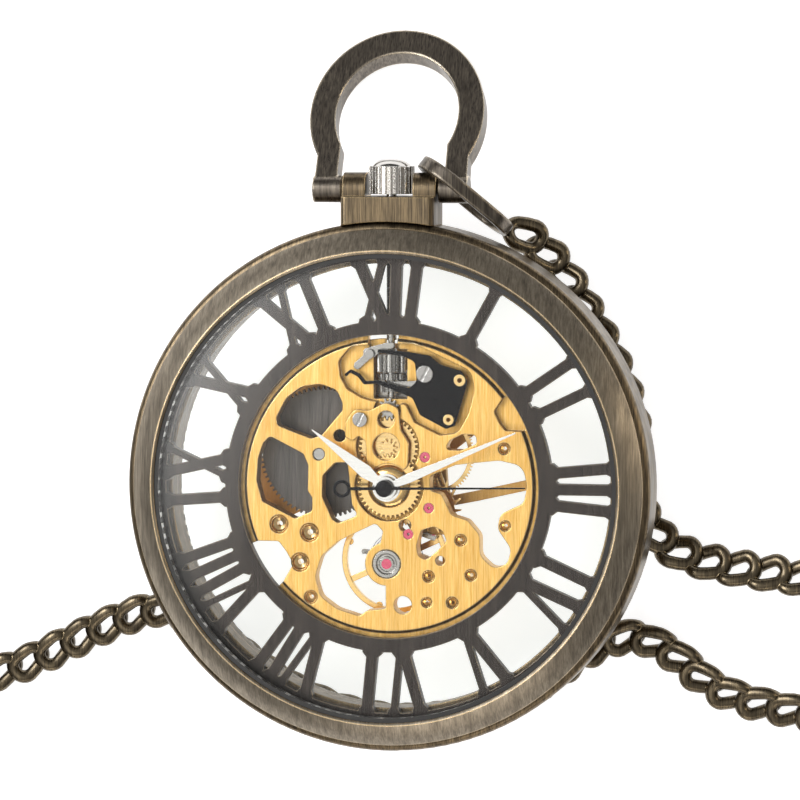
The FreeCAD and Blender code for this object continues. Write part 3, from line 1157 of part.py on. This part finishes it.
SUBPARTS = {
    "case_middle": case_middle, "front_bezel": front_bezel, "front_gasket": front_gasket,
    "front_crystal": front_glass, "back_bezel": back_bezel, "back_gasket": back_gasket,
    "back_crystal": back_glass, "pendant": pendant, "numeral_ring": numeral_ring,
    "main_plate": main_plate, "minute_train_bridge": minute_train_bridge,
    "setting_lever_spring": setting_lever_spring, "plate_bushes": plate_bushes,
    "dial_side_screws": dial_side_screws, "barrel_bridge": barrel_bridge,
    "train_bridge": train_bridge, "balance_cock": balance_cock, "pallet_cock": pallet_cock,
    "bridge_screws": bridge_screws, "jewels": jewels, "shock_setting": shock_setting,
    "regulator": regulator, "hairspring": hairspring, "yoke_spring": yoke_spring,
    "click_spring": click_spring, "chain_ring": chain_ring, "chain_run": chain_run,
    "chain_coil": chain_coil, "chain_swivel": chain_swivel, "chain_gate": chain_gate,
    "bow": bow, "bow_pins": bow_pins, "winding_pinion": winding_pinion, "stem": stem,
    "crown": crown, "clutch": clutch, "setting_lever": setting_lever, "yoke": yoke,
    "setting_wheel": setting_wheel, "crown_wheel": crown_wheel, "ratchet_wheel": ratchet_wheel,
    "barrel_arbor": barrel_arbor, "click": click, "barrel_drum": barrel_drum,
    "barrel_cover": barrel_cover, "mainspring": mainspring, "centre_wheel": centre_wheel,
    "cannon_pinion": cannon_pinion, "minute_hand": minute_hand, "fourth_wheel": fourth_wheel,
    "second_hand": second_hand, "third_wheel": third_wheel, "escape_wheel": escape_wheel,
    "pallet_fork": pallet_fork, "pallet_stones": pallet_stones, "balance_wheel": balance_wheel,
    "balance_staff": balance_staff, "minute_wheel": minute_wheel, "hour_wheel": hour_wheel,
    "hour_hand": hour_hand}

os.makedirs("parts", exist_ok=True)
for node, make in SUBPARTS.items():
    shape = make()
    shape.exportStep("parts/" + node + ".step")
    print(node, "ok" if shape.isValid() else "INVALID", len(shape.Solids), round(shape.Volume, 3))
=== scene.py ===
import json
import math
import bpy
from mathutils import Matrix, Vector
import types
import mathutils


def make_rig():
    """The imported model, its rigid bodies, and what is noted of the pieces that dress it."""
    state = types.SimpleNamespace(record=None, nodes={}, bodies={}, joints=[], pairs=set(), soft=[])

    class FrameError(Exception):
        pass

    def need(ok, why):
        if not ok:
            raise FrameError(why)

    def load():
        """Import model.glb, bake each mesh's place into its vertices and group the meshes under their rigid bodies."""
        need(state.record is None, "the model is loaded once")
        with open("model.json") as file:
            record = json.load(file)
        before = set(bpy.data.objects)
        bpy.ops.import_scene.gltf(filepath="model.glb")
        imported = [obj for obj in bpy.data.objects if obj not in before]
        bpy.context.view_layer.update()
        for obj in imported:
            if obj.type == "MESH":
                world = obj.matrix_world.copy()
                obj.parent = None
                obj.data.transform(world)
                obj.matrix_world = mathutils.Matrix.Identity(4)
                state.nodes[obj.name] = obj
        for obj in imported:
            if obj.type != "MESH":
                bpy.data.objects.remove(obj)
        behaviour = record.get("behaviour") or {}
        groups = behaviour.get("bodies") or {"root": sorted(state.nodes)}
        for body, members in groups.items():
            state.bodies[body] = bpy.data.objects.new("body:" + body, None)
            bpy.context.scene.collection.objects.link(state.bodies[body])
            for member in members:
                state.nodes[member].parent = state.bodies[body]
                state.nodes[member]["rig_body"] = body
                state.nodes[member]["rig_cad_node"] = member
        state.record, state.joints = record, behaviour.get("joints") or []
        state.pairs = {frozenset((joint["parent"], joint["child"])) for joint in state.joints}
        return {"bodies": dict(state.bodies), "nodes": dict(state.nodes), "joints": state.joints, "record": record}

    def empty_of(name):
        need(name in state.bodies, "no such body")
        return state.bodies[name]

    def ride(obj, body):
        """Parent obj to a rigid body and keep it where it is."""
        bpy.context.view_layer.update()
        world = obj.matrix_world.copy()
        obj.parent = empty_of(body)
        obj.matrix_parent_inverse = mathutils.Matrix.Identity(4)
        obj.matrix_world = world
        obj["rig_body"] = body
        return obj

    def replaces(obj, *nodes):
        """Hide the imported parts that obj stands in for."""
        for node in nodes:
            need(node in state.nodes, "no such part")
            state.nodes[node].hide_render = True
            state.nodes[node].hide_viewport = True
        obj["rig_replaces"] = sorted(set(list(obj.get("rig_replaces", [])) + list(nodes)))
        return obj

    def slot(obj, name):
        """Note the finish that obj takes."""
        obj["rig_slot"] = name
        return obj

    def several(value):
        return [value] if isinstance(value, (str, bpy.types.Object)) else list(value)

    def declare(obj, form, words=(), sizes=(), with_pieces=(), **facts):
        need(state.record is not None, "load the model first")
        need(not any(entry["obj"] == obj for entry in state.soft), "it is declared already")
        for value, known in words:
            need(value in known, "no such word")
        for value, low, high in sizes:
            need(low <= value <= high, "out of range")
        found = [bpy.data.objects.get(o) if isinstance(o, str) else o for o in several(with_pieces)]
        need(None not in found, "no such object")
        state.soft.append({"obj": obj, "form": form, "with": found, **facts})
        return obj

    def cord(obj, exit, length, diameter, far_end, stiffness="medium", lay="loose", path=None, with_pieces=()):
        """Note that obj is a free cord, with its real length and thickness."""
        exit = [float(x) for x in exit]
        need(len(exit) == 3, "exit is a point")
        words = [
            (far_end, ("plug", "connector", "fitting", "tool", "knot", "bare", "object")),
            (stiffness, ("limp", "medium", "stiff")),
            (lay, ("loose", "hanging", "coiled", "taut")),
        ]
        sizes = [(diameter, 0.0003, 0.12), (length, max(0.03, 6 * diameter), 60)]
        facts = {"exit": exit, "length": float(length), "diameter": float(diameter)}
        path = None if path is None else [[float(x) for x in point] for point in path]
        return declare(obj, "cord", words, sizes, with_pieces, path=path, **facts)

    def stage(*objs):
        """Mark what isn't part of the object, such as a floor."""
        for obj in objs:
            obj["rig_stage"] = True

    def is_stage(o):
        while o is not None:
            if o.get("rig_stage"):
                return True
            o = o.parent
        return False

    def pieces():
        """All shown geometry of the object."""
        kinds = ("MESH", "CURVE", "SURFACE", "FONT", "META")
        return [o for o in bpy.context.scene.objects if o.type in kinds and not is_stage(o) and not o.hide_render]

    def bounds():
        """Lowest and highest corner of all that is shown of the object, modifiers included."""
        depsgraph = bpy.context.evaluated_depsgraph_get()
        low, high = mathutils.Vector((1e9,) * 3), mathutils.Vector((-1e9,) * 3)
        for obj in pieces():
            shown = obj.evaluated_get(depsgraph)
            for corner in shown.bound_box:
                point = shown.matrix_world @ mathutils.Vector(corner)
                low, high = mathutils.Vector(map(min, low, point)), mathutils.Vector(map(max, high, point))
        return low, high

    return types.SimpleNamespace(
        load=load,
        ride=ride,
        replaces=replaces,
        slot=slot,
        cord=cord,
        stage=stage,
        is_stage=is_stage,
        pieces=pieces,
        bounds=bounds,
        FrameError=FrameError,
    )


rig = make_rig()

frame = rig.load()
bounds = [list(map(float, corner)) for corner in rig.bounds()]
json.dump({"before": bounds}, open("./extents.json", "w"))

MM = 0.001


def mm(*v):
    return Vector(v) * MM


# ---- camera ----

TARGET = mm(1.0, 7.7, 9.6)
DISTANCE = 0.45
VIEW_WIDTH = 0.0708          # what the picture spans at the target
SENSOR = 36
YAW, PITCH = math.radians(10.7), math.radians(4.0)

aim = Vector((math.sin(YAW), math.sin(PITCH), math.cos(YAW))).normalized()
camera = bpy.data.objects.new("camera", bpy.data.cameras.new("camera"))
bpy.context.scene.collection.objects.link(camera)
camera.location = TARGET + aim * DISTANCE
back = aim
right = Vector((0, 1, 0)).cross(back).normalized()
up = back.cross(right)
camera.matrix_world = Matrix((
    (right.x, up.x, back.x, camera.location.x),
    (right.y, up.y, back.y, camera.location.y),
    (right.z, up.z, back.z, camera.location.z),
    (0, 0, 0, 1)))
camera.data.sensor_width = SENSOR
camera.data.lens = SENSOR * DISTANCE / VIEW_WIDTH
camera.data.clip_start = 0.01
bpy.context.scene.camera = camera


# ---- chain: its line, then its links ----

CHAIN_D = 3.0
PITCH_LENGTH = 2.75
LINK_LONG, LINK_WIDE, LINK_WIRE = 4.5, 3.3, 1.2
LINK_YAW, LINK_TILT = math.radians(24), math.radians(-30)
ROUTE = [
    (10.3, 22.9, 4.0), (13.0, 20.5), (15.8, 16.2), (18.6, 11.2), (20.5, 6.2), (20.6, 2.0),
    (20.8, -2.4), (24.0, -6.2), (29.0, -7.5), (34.9, -8.2), (40.0, -8.9), (45.6, -7.4),
    (51.0, -9.0), (54.0, -14.0), (51.4, -19.5), (46.0, -22.4), (40.2, -21.4), (34.9, -20.0),
    (31.2, -19.4), (27.6, -18.0), (24.6, -15.2), (20.8, -13.4), (16.5, -14.9), (12.0, -18.3),
    (7.0, -20.8), (1.6, -21.9), (-4.0, -21.6), (-9.2, -19.9), (-13.9, -17.0), (-18.2, -13.6),
    (-22.6, -11.8), (-27.0, -13.3), (-31.5, -15.5), (-35.9, -17.7),
    (-40.8, -19.1), (-46.0, -19.6), (-51.5, -19.3)]
COIL_CENTRE = (-55.5, -3.4)


def chain_route():
    points = [(*p[:2], p[2] if len(p) > 2 else CHAIN_D / 2) for p in ROUTE]
    for k in range(1, 15):
        turn = math.radians(-90 - 15 - 22.5 * (k - 1))
        radius = 16.0 - 0.11 * k
        points.append((COIL_CENTRE[0] + radius * math.cos(turn),
                       COIL_CENTRE[1] + radius * math.sin(turn), CHAIN_D / 2))
    points += [(-45.2, -13.2, 1.5), (-48.5, -14.6, 1.5), (-50.6, -13.4, 1.5)]
    return points


def line_of(points, steps=12):
    """The curve through a NURBS spline, as evenly spaced points in metres."""
    data = bpy.data.curves.new("chain_line", "CURVE")
    data.dimensions = "3D"
    spline = data.splines.new("NURBS")
    spline.points.add(len(points) - 1)
    for slot, p in zip(spline.points, points):
        slot.co = (*mm(*p), 1)
    spline.order_u = 3
    spline.use_endpoint_u = True
    spline.resolution_u = steps
    holder = bpy.data.objects.new("chain_line", data)
    bpy.context.scene.collection.objects.link(holder)
    bpy.context.view_layer.update()
    mesh = bpy.data.meshes.new_from_object(holder)
    line = [v.co.copy() for v in mesh.vertices]
    bpy.data.objects.remove(holder)
    bpy.data.meshes.remove(mesh)
    return line


def walk(line, step):
    """Points at equal distances along a line, with their directions."""
    places = []
    travelled, wanted = 0.0, step / 2
    for a, b in zip(line, line[1:]):
        length = (b - a).length
        while wanted <= travelled + length and length > 0:
            places.append((a.lerp(b, (wanted - travelled) / length), (b - a).normalized()))
            wanted += step
        travelled += length
    return places, travelled


def link_ring(long, wide, wire, around=28, section=10, twist=0.55):
    """One twisted oval link about the origin, its length along X, in mm."""
    half, r = (long - wide) / 2, (wide - wire) / 2
    verts = []
    for i in range(around):
        t = 2 * math.pi * i / around
        x = math.copysign(half, math.cos(t)) * min(1, abs(math.cos(t)) * 4) + r * math.cos(t)
        centre = Vector((x, r * math.sin(t) * 1.02, 0))
        outward = Vector((math.cos(t), math.sin(t), 0))
        for j in range(section):
            s = 2 * math.pi * j / section
            p = centre + outward * (wire / 2 * math.cos(s)) + Vector((0, 0, wire / 2 * math.sin(s)))
            turn = Matrix.Rotation(twist * p.x / (long / 2), 3, "X")
            verts.append(turn @ p)
    faces = [(i * section + j, i * section + (j + 1) % section,
              ((i + 1) % around) * section + (j + 1) % section,
              ((i + 1) % around) * section + j)
             for i in range(around) for j in range(section)]
    return verts, faces


def chain_links(line):
    places, length = walk(line, PITCH_LENGTH * MM)
    base, base_faces = link_ring(LINK_LONG, LINK_WIDE, LINK_WIRE)
    verts, faces = [], []
    for at, along in places:
        side = Vector((0, 0, 1)).cross(along).normalized()
        lift = along.cross(side)
        turned = (Matrix.Rotation(LINK_YAW, 3, lift)
                  @ Matrix.Rotation(LINK_TILT, 3, along))
        x, y, z = turned @ along, turned @ side, turned @ lift
        start = len(verts)
        verts += [at + (x * p.x + y * p.y + z * p.z) * MM for p in base]
        faces += [tuple(start + i for i in f) for f in base_faces]
    mesh = bpy.data.meshes.new("chain_links")
    mesh.from_pydata(verts, [], faces)
    mesh.shade_smooth()
    links = bpy.data.objects.new("chain_links", mesh)
    bpy.context.scene.collection.objects.link(links)
    return links, length


line = line_of(chain_route())
links, chain_length = chain_links(line)
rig.ride(links, "watch")
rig.replaces(links, "chain_run", "chain_coil")
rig.slot(links, "chain_bronze")
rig.cord(links, exit=line[0], length=chain_length, diameter=CHAIN_D * MM, far_end="fitting",
        stiffness="limp", lay="coiled", path=[tuple(p) for p in line],
        with_pieces=[frame["nodes"]["chain_swivel"], frame["nodes"]["chain_gate"]])


# ---- shader groups ----

def group(name, inputs, outputs):
    """A node group with named sockets: (name, kind, default) in, (name, kind) out."""
    tree = bpy.data.node_groups.new(name, "ShaderNodeTree")
    for label, kind, default in inputs:
        socket = tree.interface.new_socket(label, in_out="INPUT", socket_type="NodeSocket" + kind)
        if default is not None:
            socket.default_value = default
    for label, kind in outputs:
        tree.interface.new_socket(label, in_out="OUTPUT", socket_type="NodeSocket" + kind)
    return tree, tree.nodes.new("NodeGroupInput"), tree.nodes.new("NodeGroupOutput")


def node(tree, kind, values=None, **settings):
    made = tree.nodes.new("ShaderNode" + kind)
    for key, value in settings.items():
        setattr(made, key, value)
    for key, value in (values or {}).items():
        if isinstance(value, bpy.types.NodeSocket):
            tree.links.new(value, made.inputs[key])
        else:
            made.inputs[key].default_value = value
    return made


def maths(tree, operation, a, b=0.0, clamp=False):
    return node(tree, "Math", {0: a, 1: b}, operation=operation, use_clamp=clamp).outputs[0]


def blend(tree, mask, a, b, mode="MIX"):
    return node(tree, "Mix", {0: mask, 6: a, 7: b}, data_type="RGBA",
                blend_type=mode).outputs[2]


def spread(tree, value, low, high, out_low=0.0, out_high=1.0):
    return node(tree, "MapRange", {0: value, 1: low, 2: high, 3: out_low, 4: out_high}).outputs[0]


def make_brushed():
    """Fine lines along one direction, with broad tarnish over them."""
    tree, gin, gout = group("brushed_metal", [
        ("Vector", "Vector", None), ("Base", "Color", (0.5, 0.4, 0.3, 1)),
        ("Bright", "Color", (0.8, 0.6, 0.4, 1)), ("Dark", "Color", (0.05, 0.04, 0.03, 1)),
        ("Lines", "Float", 0.5), ("Tarnish", "Float", 0.4), ("Roughness", "Float", 0.3)],
        [("Color", "Color"), ("Roughness", "Float"), ("Height", "Float"), ("Mask", "Float")])
    stretched = node(tree, "Mapping", {"Vector": gin.outputs["Vector"],
                                       "Scale": (9000, 260, 2500)})
    fine = node(tree, "TexNoise", {"Vector": stretched.outputs[0], "Scale": 1.0, "Detail": 4.0,
                                   "Roughness": 0.7})
    broad_at = node(tree, "Mapping", {"Vector": gin.outputs["Vector"],
                                      "Scale": (1500, 130, 700)})
    broad = node(tree, "TexNoise", {"Vector": broad_at.outputs[0], "Scale": 1.0, "Detail": 5.0,
                                    "Roughness": 0.62})
    lines = spread(tree, fine.outputs[0], 0.36, 0.66)
    patch = spread(tree, broad.outputs[0], 0.42, 0.64)
    lit = maths(tree, "MULTIPLY", lines, gin.outputs["Lines"])
    worn = maths(tree, "MULTIPLY", patch, gin.outputs["Tarnish"])
    color = blend(tree, lit, gin.outputs["Base"], gin.outputs["Bright"])
    color = blend(tree, worn, color, gin.outputs["Dark"])
    rough = maths(tree, "ADD", gin.outputs["Roughness"], maths(tree, "MULTIPLY", worn, 0.16))
    rough = maths(tree, "ADD", rough, maths(tree, "MULTIPLY", lines, 0.08))
    for label, value in (("Color", color), ("Roughness", rough), ("Height", fine.outputs[0]),
                         ("Mask", patch)):
        tree.links.new(value, gout.inputs[label])
    return tree


def make_edges():
    """Where corners are: 1 on an edge within the given width, 0 on a face, and the
    rounded normal."""
    tree, gin, gout = group("edge_mask", [("Width", "Float", 0.00008), ("Gain", "Float", 4.0)],
                            [("Mask", "Float"), ("Normal", "Vector")])
    bevel = node(tree, "Bevel", {"Radius": gin.outputs["Width"]}, samples=6)
    geometry = node(tree, "NewGeometry")
    dot = node(tree, "VectorMath", {0: bevel.outputs[0], 1: geometry.outputs["Normal"]},
               operation="DOT_PRODUCT")
    off = maths(tree, "SUBTRACT", 1.0, dot.outputs["Value"])
    mask = maths(tree, "MULTIPLY", off, gin.outputs["Gain"], clamp=True)
    tree.links.new(mask, gout.inputs["Mask"])
    tree.links.new(bevel.outputs[0], gout.inputs["Normal"])
    return tree


def make_corner_shade():
    """Painted shade in corners, from how closed in the surface is, broken up by noise."""
    tree, gin, gout = group("corner_painted_shade", [
        ("Vector", "Vector", None), ("Color", "Color", (0.5, 0.5, 0.5, 1)),
        ("ShadeColor", "Color", (0.02, 0.015, 0.01, 1)), ("Amount", "Float", 0.5),
        ("Reach", "Float", 0.0006)], [("Color", "Color"), ("Mask", "Float")])
    shut = node(tree, "AmbientOcclusion", {"Distance": gin.outputs["Reach"]}, samples=6)
    noise = node(tree, "TexNoise", {"Vector": gin.outputs["Vector"], "Scale": 1500.0,
                                    "Detail": 4.0})
    closed = maths(tree, "SUBTRACT", 1.0, shut.outputs["AO"])
    broken = maths(tree, "MULTIPLY", closed, spread(tree, noise.outputs[0], 0.3, 0.6, 0.5, 1.2))
    mask = maths(tree, "MULTIPLY", broken, gin.outputs["Amount"], clamp=True)
    color = blend(tree, mask, gin.outputs["Color"], gin.outputs["ShadeColor"])
    tree.links.new(color, gout.inputs["Color"])
    tree.links.new(mask, gout.inputs["Mask"])
    return tree


BRUSHED, EDGES, CORNER_SHADE = make_brushed(), make_edges(), make_corner_shade()


def use(tree, which, values=None):
    made = tree.nodes.new("ShaderNodeGroup")
    made.node_tree = which
    for key, value in (values or {}).items():
        if isinstance(value, bpy.types.NodeSocket):
            tree.links.new(value, made.inputs[key])
        else:
            made.inputs[key].default_value = value
    return made


def fresh(name):
    material = bpy.data.materials.new(name)
    material.use_nodes = True
    tree = material.node_tree
    tree.nodes.clear()
    shader = node(tree, "BsdfPrincipled")
    out = node(tree, "OutputMaterial", {"Surface": shader.outputs[0]})
    where = node(tree, "TexCoord").outputs["Object"]
    return material, tree, shader, out, where


def bump(tree, height, strength, distance, normal=None):
    made = node(tree, "Bump", {"Strength": strength, "Distance": distance, "Height": height})
    if normal is not None:
        tree.links.new(normal, made.inputs["Normal"])
    return made.outputs[0]


# ---- materials ----

def rgb(*c):
    return (*c, 1.0)


def metal(name, base, bright, dark, lines=0.5, tarnish=0.3, rough=0.3, edge=0.9, width=0.08,
          edge_color=None, corner_shade=0.6, reach=0.6, relief=0.06, turn=0.0, anisotropy=0.0):
    """Brushed and tarnished metal with bright edges, part real wear and part painted highlight, and painted shade in
    its corners.
    """
    material, tree, shader, _, where = fresh(name)
    vector = node(tree, "Mapping", {"Vector": where, "Rotation": (0, 0, turn)}).outputs[0]
    brushed = use(tree, BRUSHED, {"Vector": vector, "Base": rgb(*base), "Bright": rgb(*bright),
                                  "Dark": rgb(*dark), "Lines": lines, "Tarnish": tarnish,
                                  "Roughness": rough})
    edges = use(tree, EDGES, {"Width": width * MM, "Gain": 5.0})
    # painted shade: ambient occlusion darkens closed-in corners toward a quarter of the dark colour
    corner_shaded = use(tree, CORNER_SHADE, {"Vector": where, "Color": brushed.outputs["Color"],
                              "ShadeColor": rgb(*[c * 0.25 for c in dark]), "Amount": corner_shade,
                              "Reach": reach * MM})
    # bright edges: part real wear, part painted highlight along every bevelled edge
    wear_and_highlight = maths(tree, "MULTIPLY", edges.outputs["Mask"], edge)
    color = blend(tree, wear_and_highlight, corner_shaded.outputs["Color"], rgb(*(edge_color or bright)))
    tree.links.new(color, shader.inputs["Base Color"])
    polish = maths(tree, "MULTIPLY", wear_and_highlight, -0.12)
    tree.links.new(maths(tree, "ADD", brushed.outputs["Roughness"], polish, clamp=True),
                   shader.inputs["Roughness"])
    normal = bump(tree, brushed.outputs["Height"], relief, 0.02 * MM, edges.outputs["Normal"])
    tree.links.new(normal, shader.inputs["Normal"])
    shader.inputs["Metallic"].default_value = 1.0
    shader.inputs["Anisotropic"].default_value = anisotropy
    return material


def polished(name, base, rough=0.08, width=0.05, scratch=0.15, edge=0.5):
    """Polished metal with hairline scratches, rounded corners and a painted highlight on its edges."""
    material, tree, shader, _, where = fresh(name)
    vector = node(tree, "Mapping", {"Vector": where, "Scale": (600, 4200, 900),
                                    "Rotation": (0, 0, 0.6)}).outputs[0]
    hair = node(tree, "TexNoise", {"Vector": vector, "Scale": 1.0, "Detail": 4.0})
    edges = use(tree, EDGES, {"Width": width * MM, "Gain": 5.0})
    lines = spread(tree, hair.outputs[0], 0.45, 0.7)
    tone = blend(tree, maths(tree, "MULTIPLY", lines, scratch), rgb(*base),
                 rgb(*[c * 0.55 for c in base]))
    # painted highlight: edges lightened toward a brighter copy of the base colour
    light = rgb(*[min(1, c * 1.3 + 0.1) for c in base])
    tree.links.new(blend(tree, maths(tree, "MULTIPLY", edges.outputs["Mask"], edge), tone, light),
                   shader.inputs["Base Color"])
    tree.links.new(maths(tree, "ADD", maths(tree, "MULTIPLY", lines, 0.12), rough),
                   shader.inputs["Roughness"])
    tree.links.new(bump(tree, hair.outputs[0], 0.05, 0.01 * MM, edges.outputs["Normal"]),
                   shader.inputs["Normal"])
    shader.inputs["Metallic"].default_value = 1.0
    return material


def clear_glass(name, strength, upper_left_boost):
    """Thin clear glass whose soft reflection grows at the rim, with a painted reflection up to
    upper_left_boost times stronger toward the upper left."""
    material, tree, shader, out, where = fresh(name)
    smear = node(tree, "TexNoise", {"Vector": where, "Scale": 90.0, "Detail": 4.0})
    tree.links.new(spread(tree, smear.outputs[0], 0.35, 0.7, 0.22, 0.3),
                   shader.inputs["Roughness"])
    shader.inputs["Metallic"].default_value = 1.0
    shader.inputs["Base Color"].default_value = rgb(1, 1, 1)
    clear = node(tree, "BsdfTransparent", {"Color": rgb(0.985, 0.99, 0.985)})
    facing = node(tree, "Fresnel", {"IOR": 1.5})
    apart = node(tree, "SeparateXYZ", {0: where})
    leftward = maths(tree, "SUBTRACT", maths(tree, "MULTIPLY", apart.outputs[1], 0.35),
                     apart.outputs[0])
    # painted reflection: the reflection share is raised toward the upper left by position
    painted_reflection_strength = spread(tree, leftward, 9.0 * MM, 19.0 * MM, strength, strength * upper_left_boost)
    share = maths(tree, "MULTIPLY", facing.outputs[0], painted_reflection_strength)
    through = node(tree, "LightPath")
    seen = maths(tree, "SUBTRACT", 1.0, through.outputs["Is Shadow Ray"])
    mix = node(tree, "MixShader", {0: maths(tree, "MULTIPLY", share, seen),
                                   1: clear.outputs[0], 2: shader.outputs[0]})
    tree.links.new(mix.outputs[0], out.inputs["Surface"])
    return material


def ruby():
    material, tree, shader, _, where = fresh("ruby")
    noise = node(tree, "TexNoise", {"Vector": where, "Scale": 3000.0, "Detail": 2.0})
    tree.links.new(blend(tree, noise.outputs[0], rgb(0.42, 0.01, 0.05), rgb(0.75, 0.04, 0.16)),
                   shader.inputs["Base Color"])
    shader.inputs["Roughness"].default_value = 0.05
    shader.inputs["IOR"].default_value = 1.76
    shader.inputs["Coat Weight"].default_value = 0.8
    # painted glow: the ruby emits a faint red light though it is no lamp
    shader.inputs["Emission Color"].default_value = rgb(0.6, 0.02, 0.1)
    shader.inputs["Emission Strength"].default_value = 0.15
    return material


def rubber(name):
    material, tree, shader, _, where = fresh(name)
    noise = node(tree, "TexNoise", {"Vector": where, "Scale": 900.0, "Detail": 4.0})
    tree.links.new(blend(tree, noise.outputs[0], rgb(0.008, 0.008, 0.009),
                         rgb(0.03, 0.028, 0.026)), shader.inputs["Base Color"])
    tree.links.new(bump(tree, noise.outputs[0], 0.2, 0.05 * MM), shader.inputs["Normal"])
    shader.inputs["Roughness"].default_value = 0.55
    return material


BRONZE = ((0.16, 0.125, 0.09), (0.62, 0.47, 0.29), (0.03, 0.024, 0.02))
GILT = ((0.70, 0.38, 0.08), (1.0, 0.70, 0.28), (0.22, 0.10, 0.02))
MATERIALS = {
    "case_bronze": metal("case_bronze", (0.08, 0.064, 0.047), (0.46, 0.34, 0.19), BRONZE[2],
                         lines=0.5, tarnish=0.45, rough=0.28, width=0.2,
                         edge_color=(0.95, 0.72, 0.40)),
    "bezel_bronze": metal("bezel_bronze", (0.25, 0.215, 0.17), (0.66, 0.57, 0.44),
                          (0.05, 0.04, 0.03), lines=0.5, tarnish=0.4, rough=0.33, width=0.2,
                          edge_color=(1.0, 0.74, 0.40), relief=0.2),
    "gasket": rubber("gasket"),
    "crystal": clear_glass("crystal", 0.28, 3.2),
    "ring_gunmetal": metal("ring_gunmetal", (0.030, 0.026, 0.025), (0.11, 0.09, 0.08),
                           (0.012, 0.010, 0.010), lines=0.5, tarnish=0.3, rough=0.34,
                           width=0.14, edge=0.9, edge_color=(0.66, 0.55, 0.42), relief=0.12),
    "gilt_plate": metal("gilt_plate", *GILT, lines=0.75, tarnish=0.2, rough=0.3, width=0.16,
                        edge_color=(1.0, 0.88, 0.60), corner_shade=0.8, reach=0.8, relief=0.2),
    "black_steel": polished("black_steel", (0.012, 0.012, 0.014), rough=0.16, width=0.09,
                            edge=1.0, scratch=0.5),
    "brass": polished("brass", (0.85, 0.60, 0.28), rough=0.16, scratch=0.3),
    "screw_steel": polished("screw_steel", (0.40, 0.39, 0.39), rough=0.16, width=0.09, edge=0.9),
    "gilt_bridge": metal("gilt_bridge", (0.42, 0.24, 0.07), (0.9, 0.58, 0.22), GILT[2],
                         lines=0.3, tarnish=0.2, rough=0.36, width=0.1),
    "ruby": ruby(),
    "polished_steel": polished("polished_steel", (0.42, 0.41, 0.40), rough=0.2, scratch=0.5, edge=0.9),
    "spring_steel": polished("spring_steel", (0.30, 0.33, 0.42), rough=0.2),
    "barrel_steel": metal("barrel_steel", (0.07, 0.065, 0.065), (0.24, 0.22, 0.20),
                          (0.02, 0.02, 0.02), lines=0.4, tarnish=0.3, rough=0.34, width=0.08),
    "gilt_wheel": polished("gilt_wheel", (0.92, 0.62, 0.26), rough=0.14, width=0.08),
    "hand_silver": polished("hand_silver", (0.80, 0.80, 0.80), rough=0.16, width=0.03),
    "bow_bronze": metal("bow_bronze", (0.10, 0.088, 0.078), (0.42, 0.36, 0.28), BRONZE[2],
                        lines=0.5, tarnish=0.4, rough=0.26, width=0.32,
                        edge_color=(0.92, 0.80, 0.62)),
    "chain_bronze": metal("chain_bronze", (0.10, 0.082, 0.058), (0.42, 0.33, 0.20), BRONZE[2],
                          lines=0.4, tarnish=0.4, rough=0.24, width=0.1, reach=1.0, corner_shade=0.85),
    "crown_steel": polished("crown_steel", (0.62, 0.60, 0.57), rough=0.12, width=0.08),
}
NODE_SLOTS = {s["node"]: s["material_slot"] for s in frame["record"]["subparts"]}
for name, obj in frame["nodes"].items():
    obj.data.materials.clear()
    obj.data.materials.append(MATERIALS[NODE_SLOTS[name]])
links.data.materials.append(MATERIALS["chain_bronze"])


# ---- floor and light ----

def floor():
    mesh = bpy.data.meshes.new("floor")
    mesh.from_pydata([(-1, -1, 0), (1, -1, 0), (1, 1, 0), (-1, 1, 0)], [], [(0, 1, 2, 3)])
    table = bpy.data.objects.new("floor", mesh)
    bpy.context.scene.collection.objects.link(table)
    table.location.z = -0.02 * MM
    material, _, shader, _, _ = fresh("floor")
    shader.inputs["Base Color"].default_value = rgb(0.55, 0.55, 0.56)
    shader.inputs["Roughness"].default_value = 0.6
    shader.inputs["Emission Color"].default_value = rgb(1, 1, 1)
    shader.inputs["Emission Strength"].default_value = 0.86
    table.data.materials.append(material)
    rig.stage(table)


def softbox(name, at, toward, size, radiance, color=(1, 1, 1)):
    data = bpy.data.lights.new(name, "AREA")
    data.shape = "RECTANGLE"
    data.size, data.size_y = size
    data.energy = radiance * math.pi * size[0] * size[1]
    data.color = color
    lamp = bpy.data.objects.new(name, data)
    bpy.context.scene.collection.objects.link(lamp)
    lamp.location = at
    lamp.rotation_euler = (Vector(toward) - Vector(at)).to_track_quat("-Z", "Y").to_euler()
    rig.stage(lamp)


def sky():
    """Dim room with a pale ceiling, so that polished metal has something to show."""
    world = bpy.data.worlds.new("room")
    bpy.context.scene.world = world
    world.use_nodes = True
    tree = world.node_tree
    tree.nodes.clear()
    way = node(tree, "TexCoord").outputs["Generated"]
    height = node(tree, "SeparateXYZ", {0: way}).outputs[2]
    level = spread(tree, height, 0.15, 0.95, 0.03, 0.5)
    back = node(tree, "Background", {"Color": rgb(1.0, 0.98, 0.95), "Strength": level})
    node(tree, "OutputWorld", {"Surface": back.outputs[0]})


floor()
sky()
softbox("key", (-0.36, 0.20, 0.50), (0, 0, 0), (0.36, 0.36), 8.0)
softbox("top", (-0.14, -0.10, 0.62), (0, 0, 0), (0.55, 0.55), 0.75, (1.0, 0.97, 0.92))
softbox("low", (0.05, -0.55, 0.28), (0, 0, 0), (0.5, 0.2), 2.2, (1.0, 0.93, 0.84))
softbox("side", (0.6, 0.12, 0.16), (0, 0, 0.01), (0.08, 0.3), 5.0, (1.0, 0.86, 0.66))

bpy.context.scene.view_settings.view_transform = "Standard"
bounds = [list(map(float, corner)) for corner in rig.bounds()]
json.dump({"before": json.load(open("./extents.json"))["before"], "after": bounds},
          open("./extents.json", "w"))
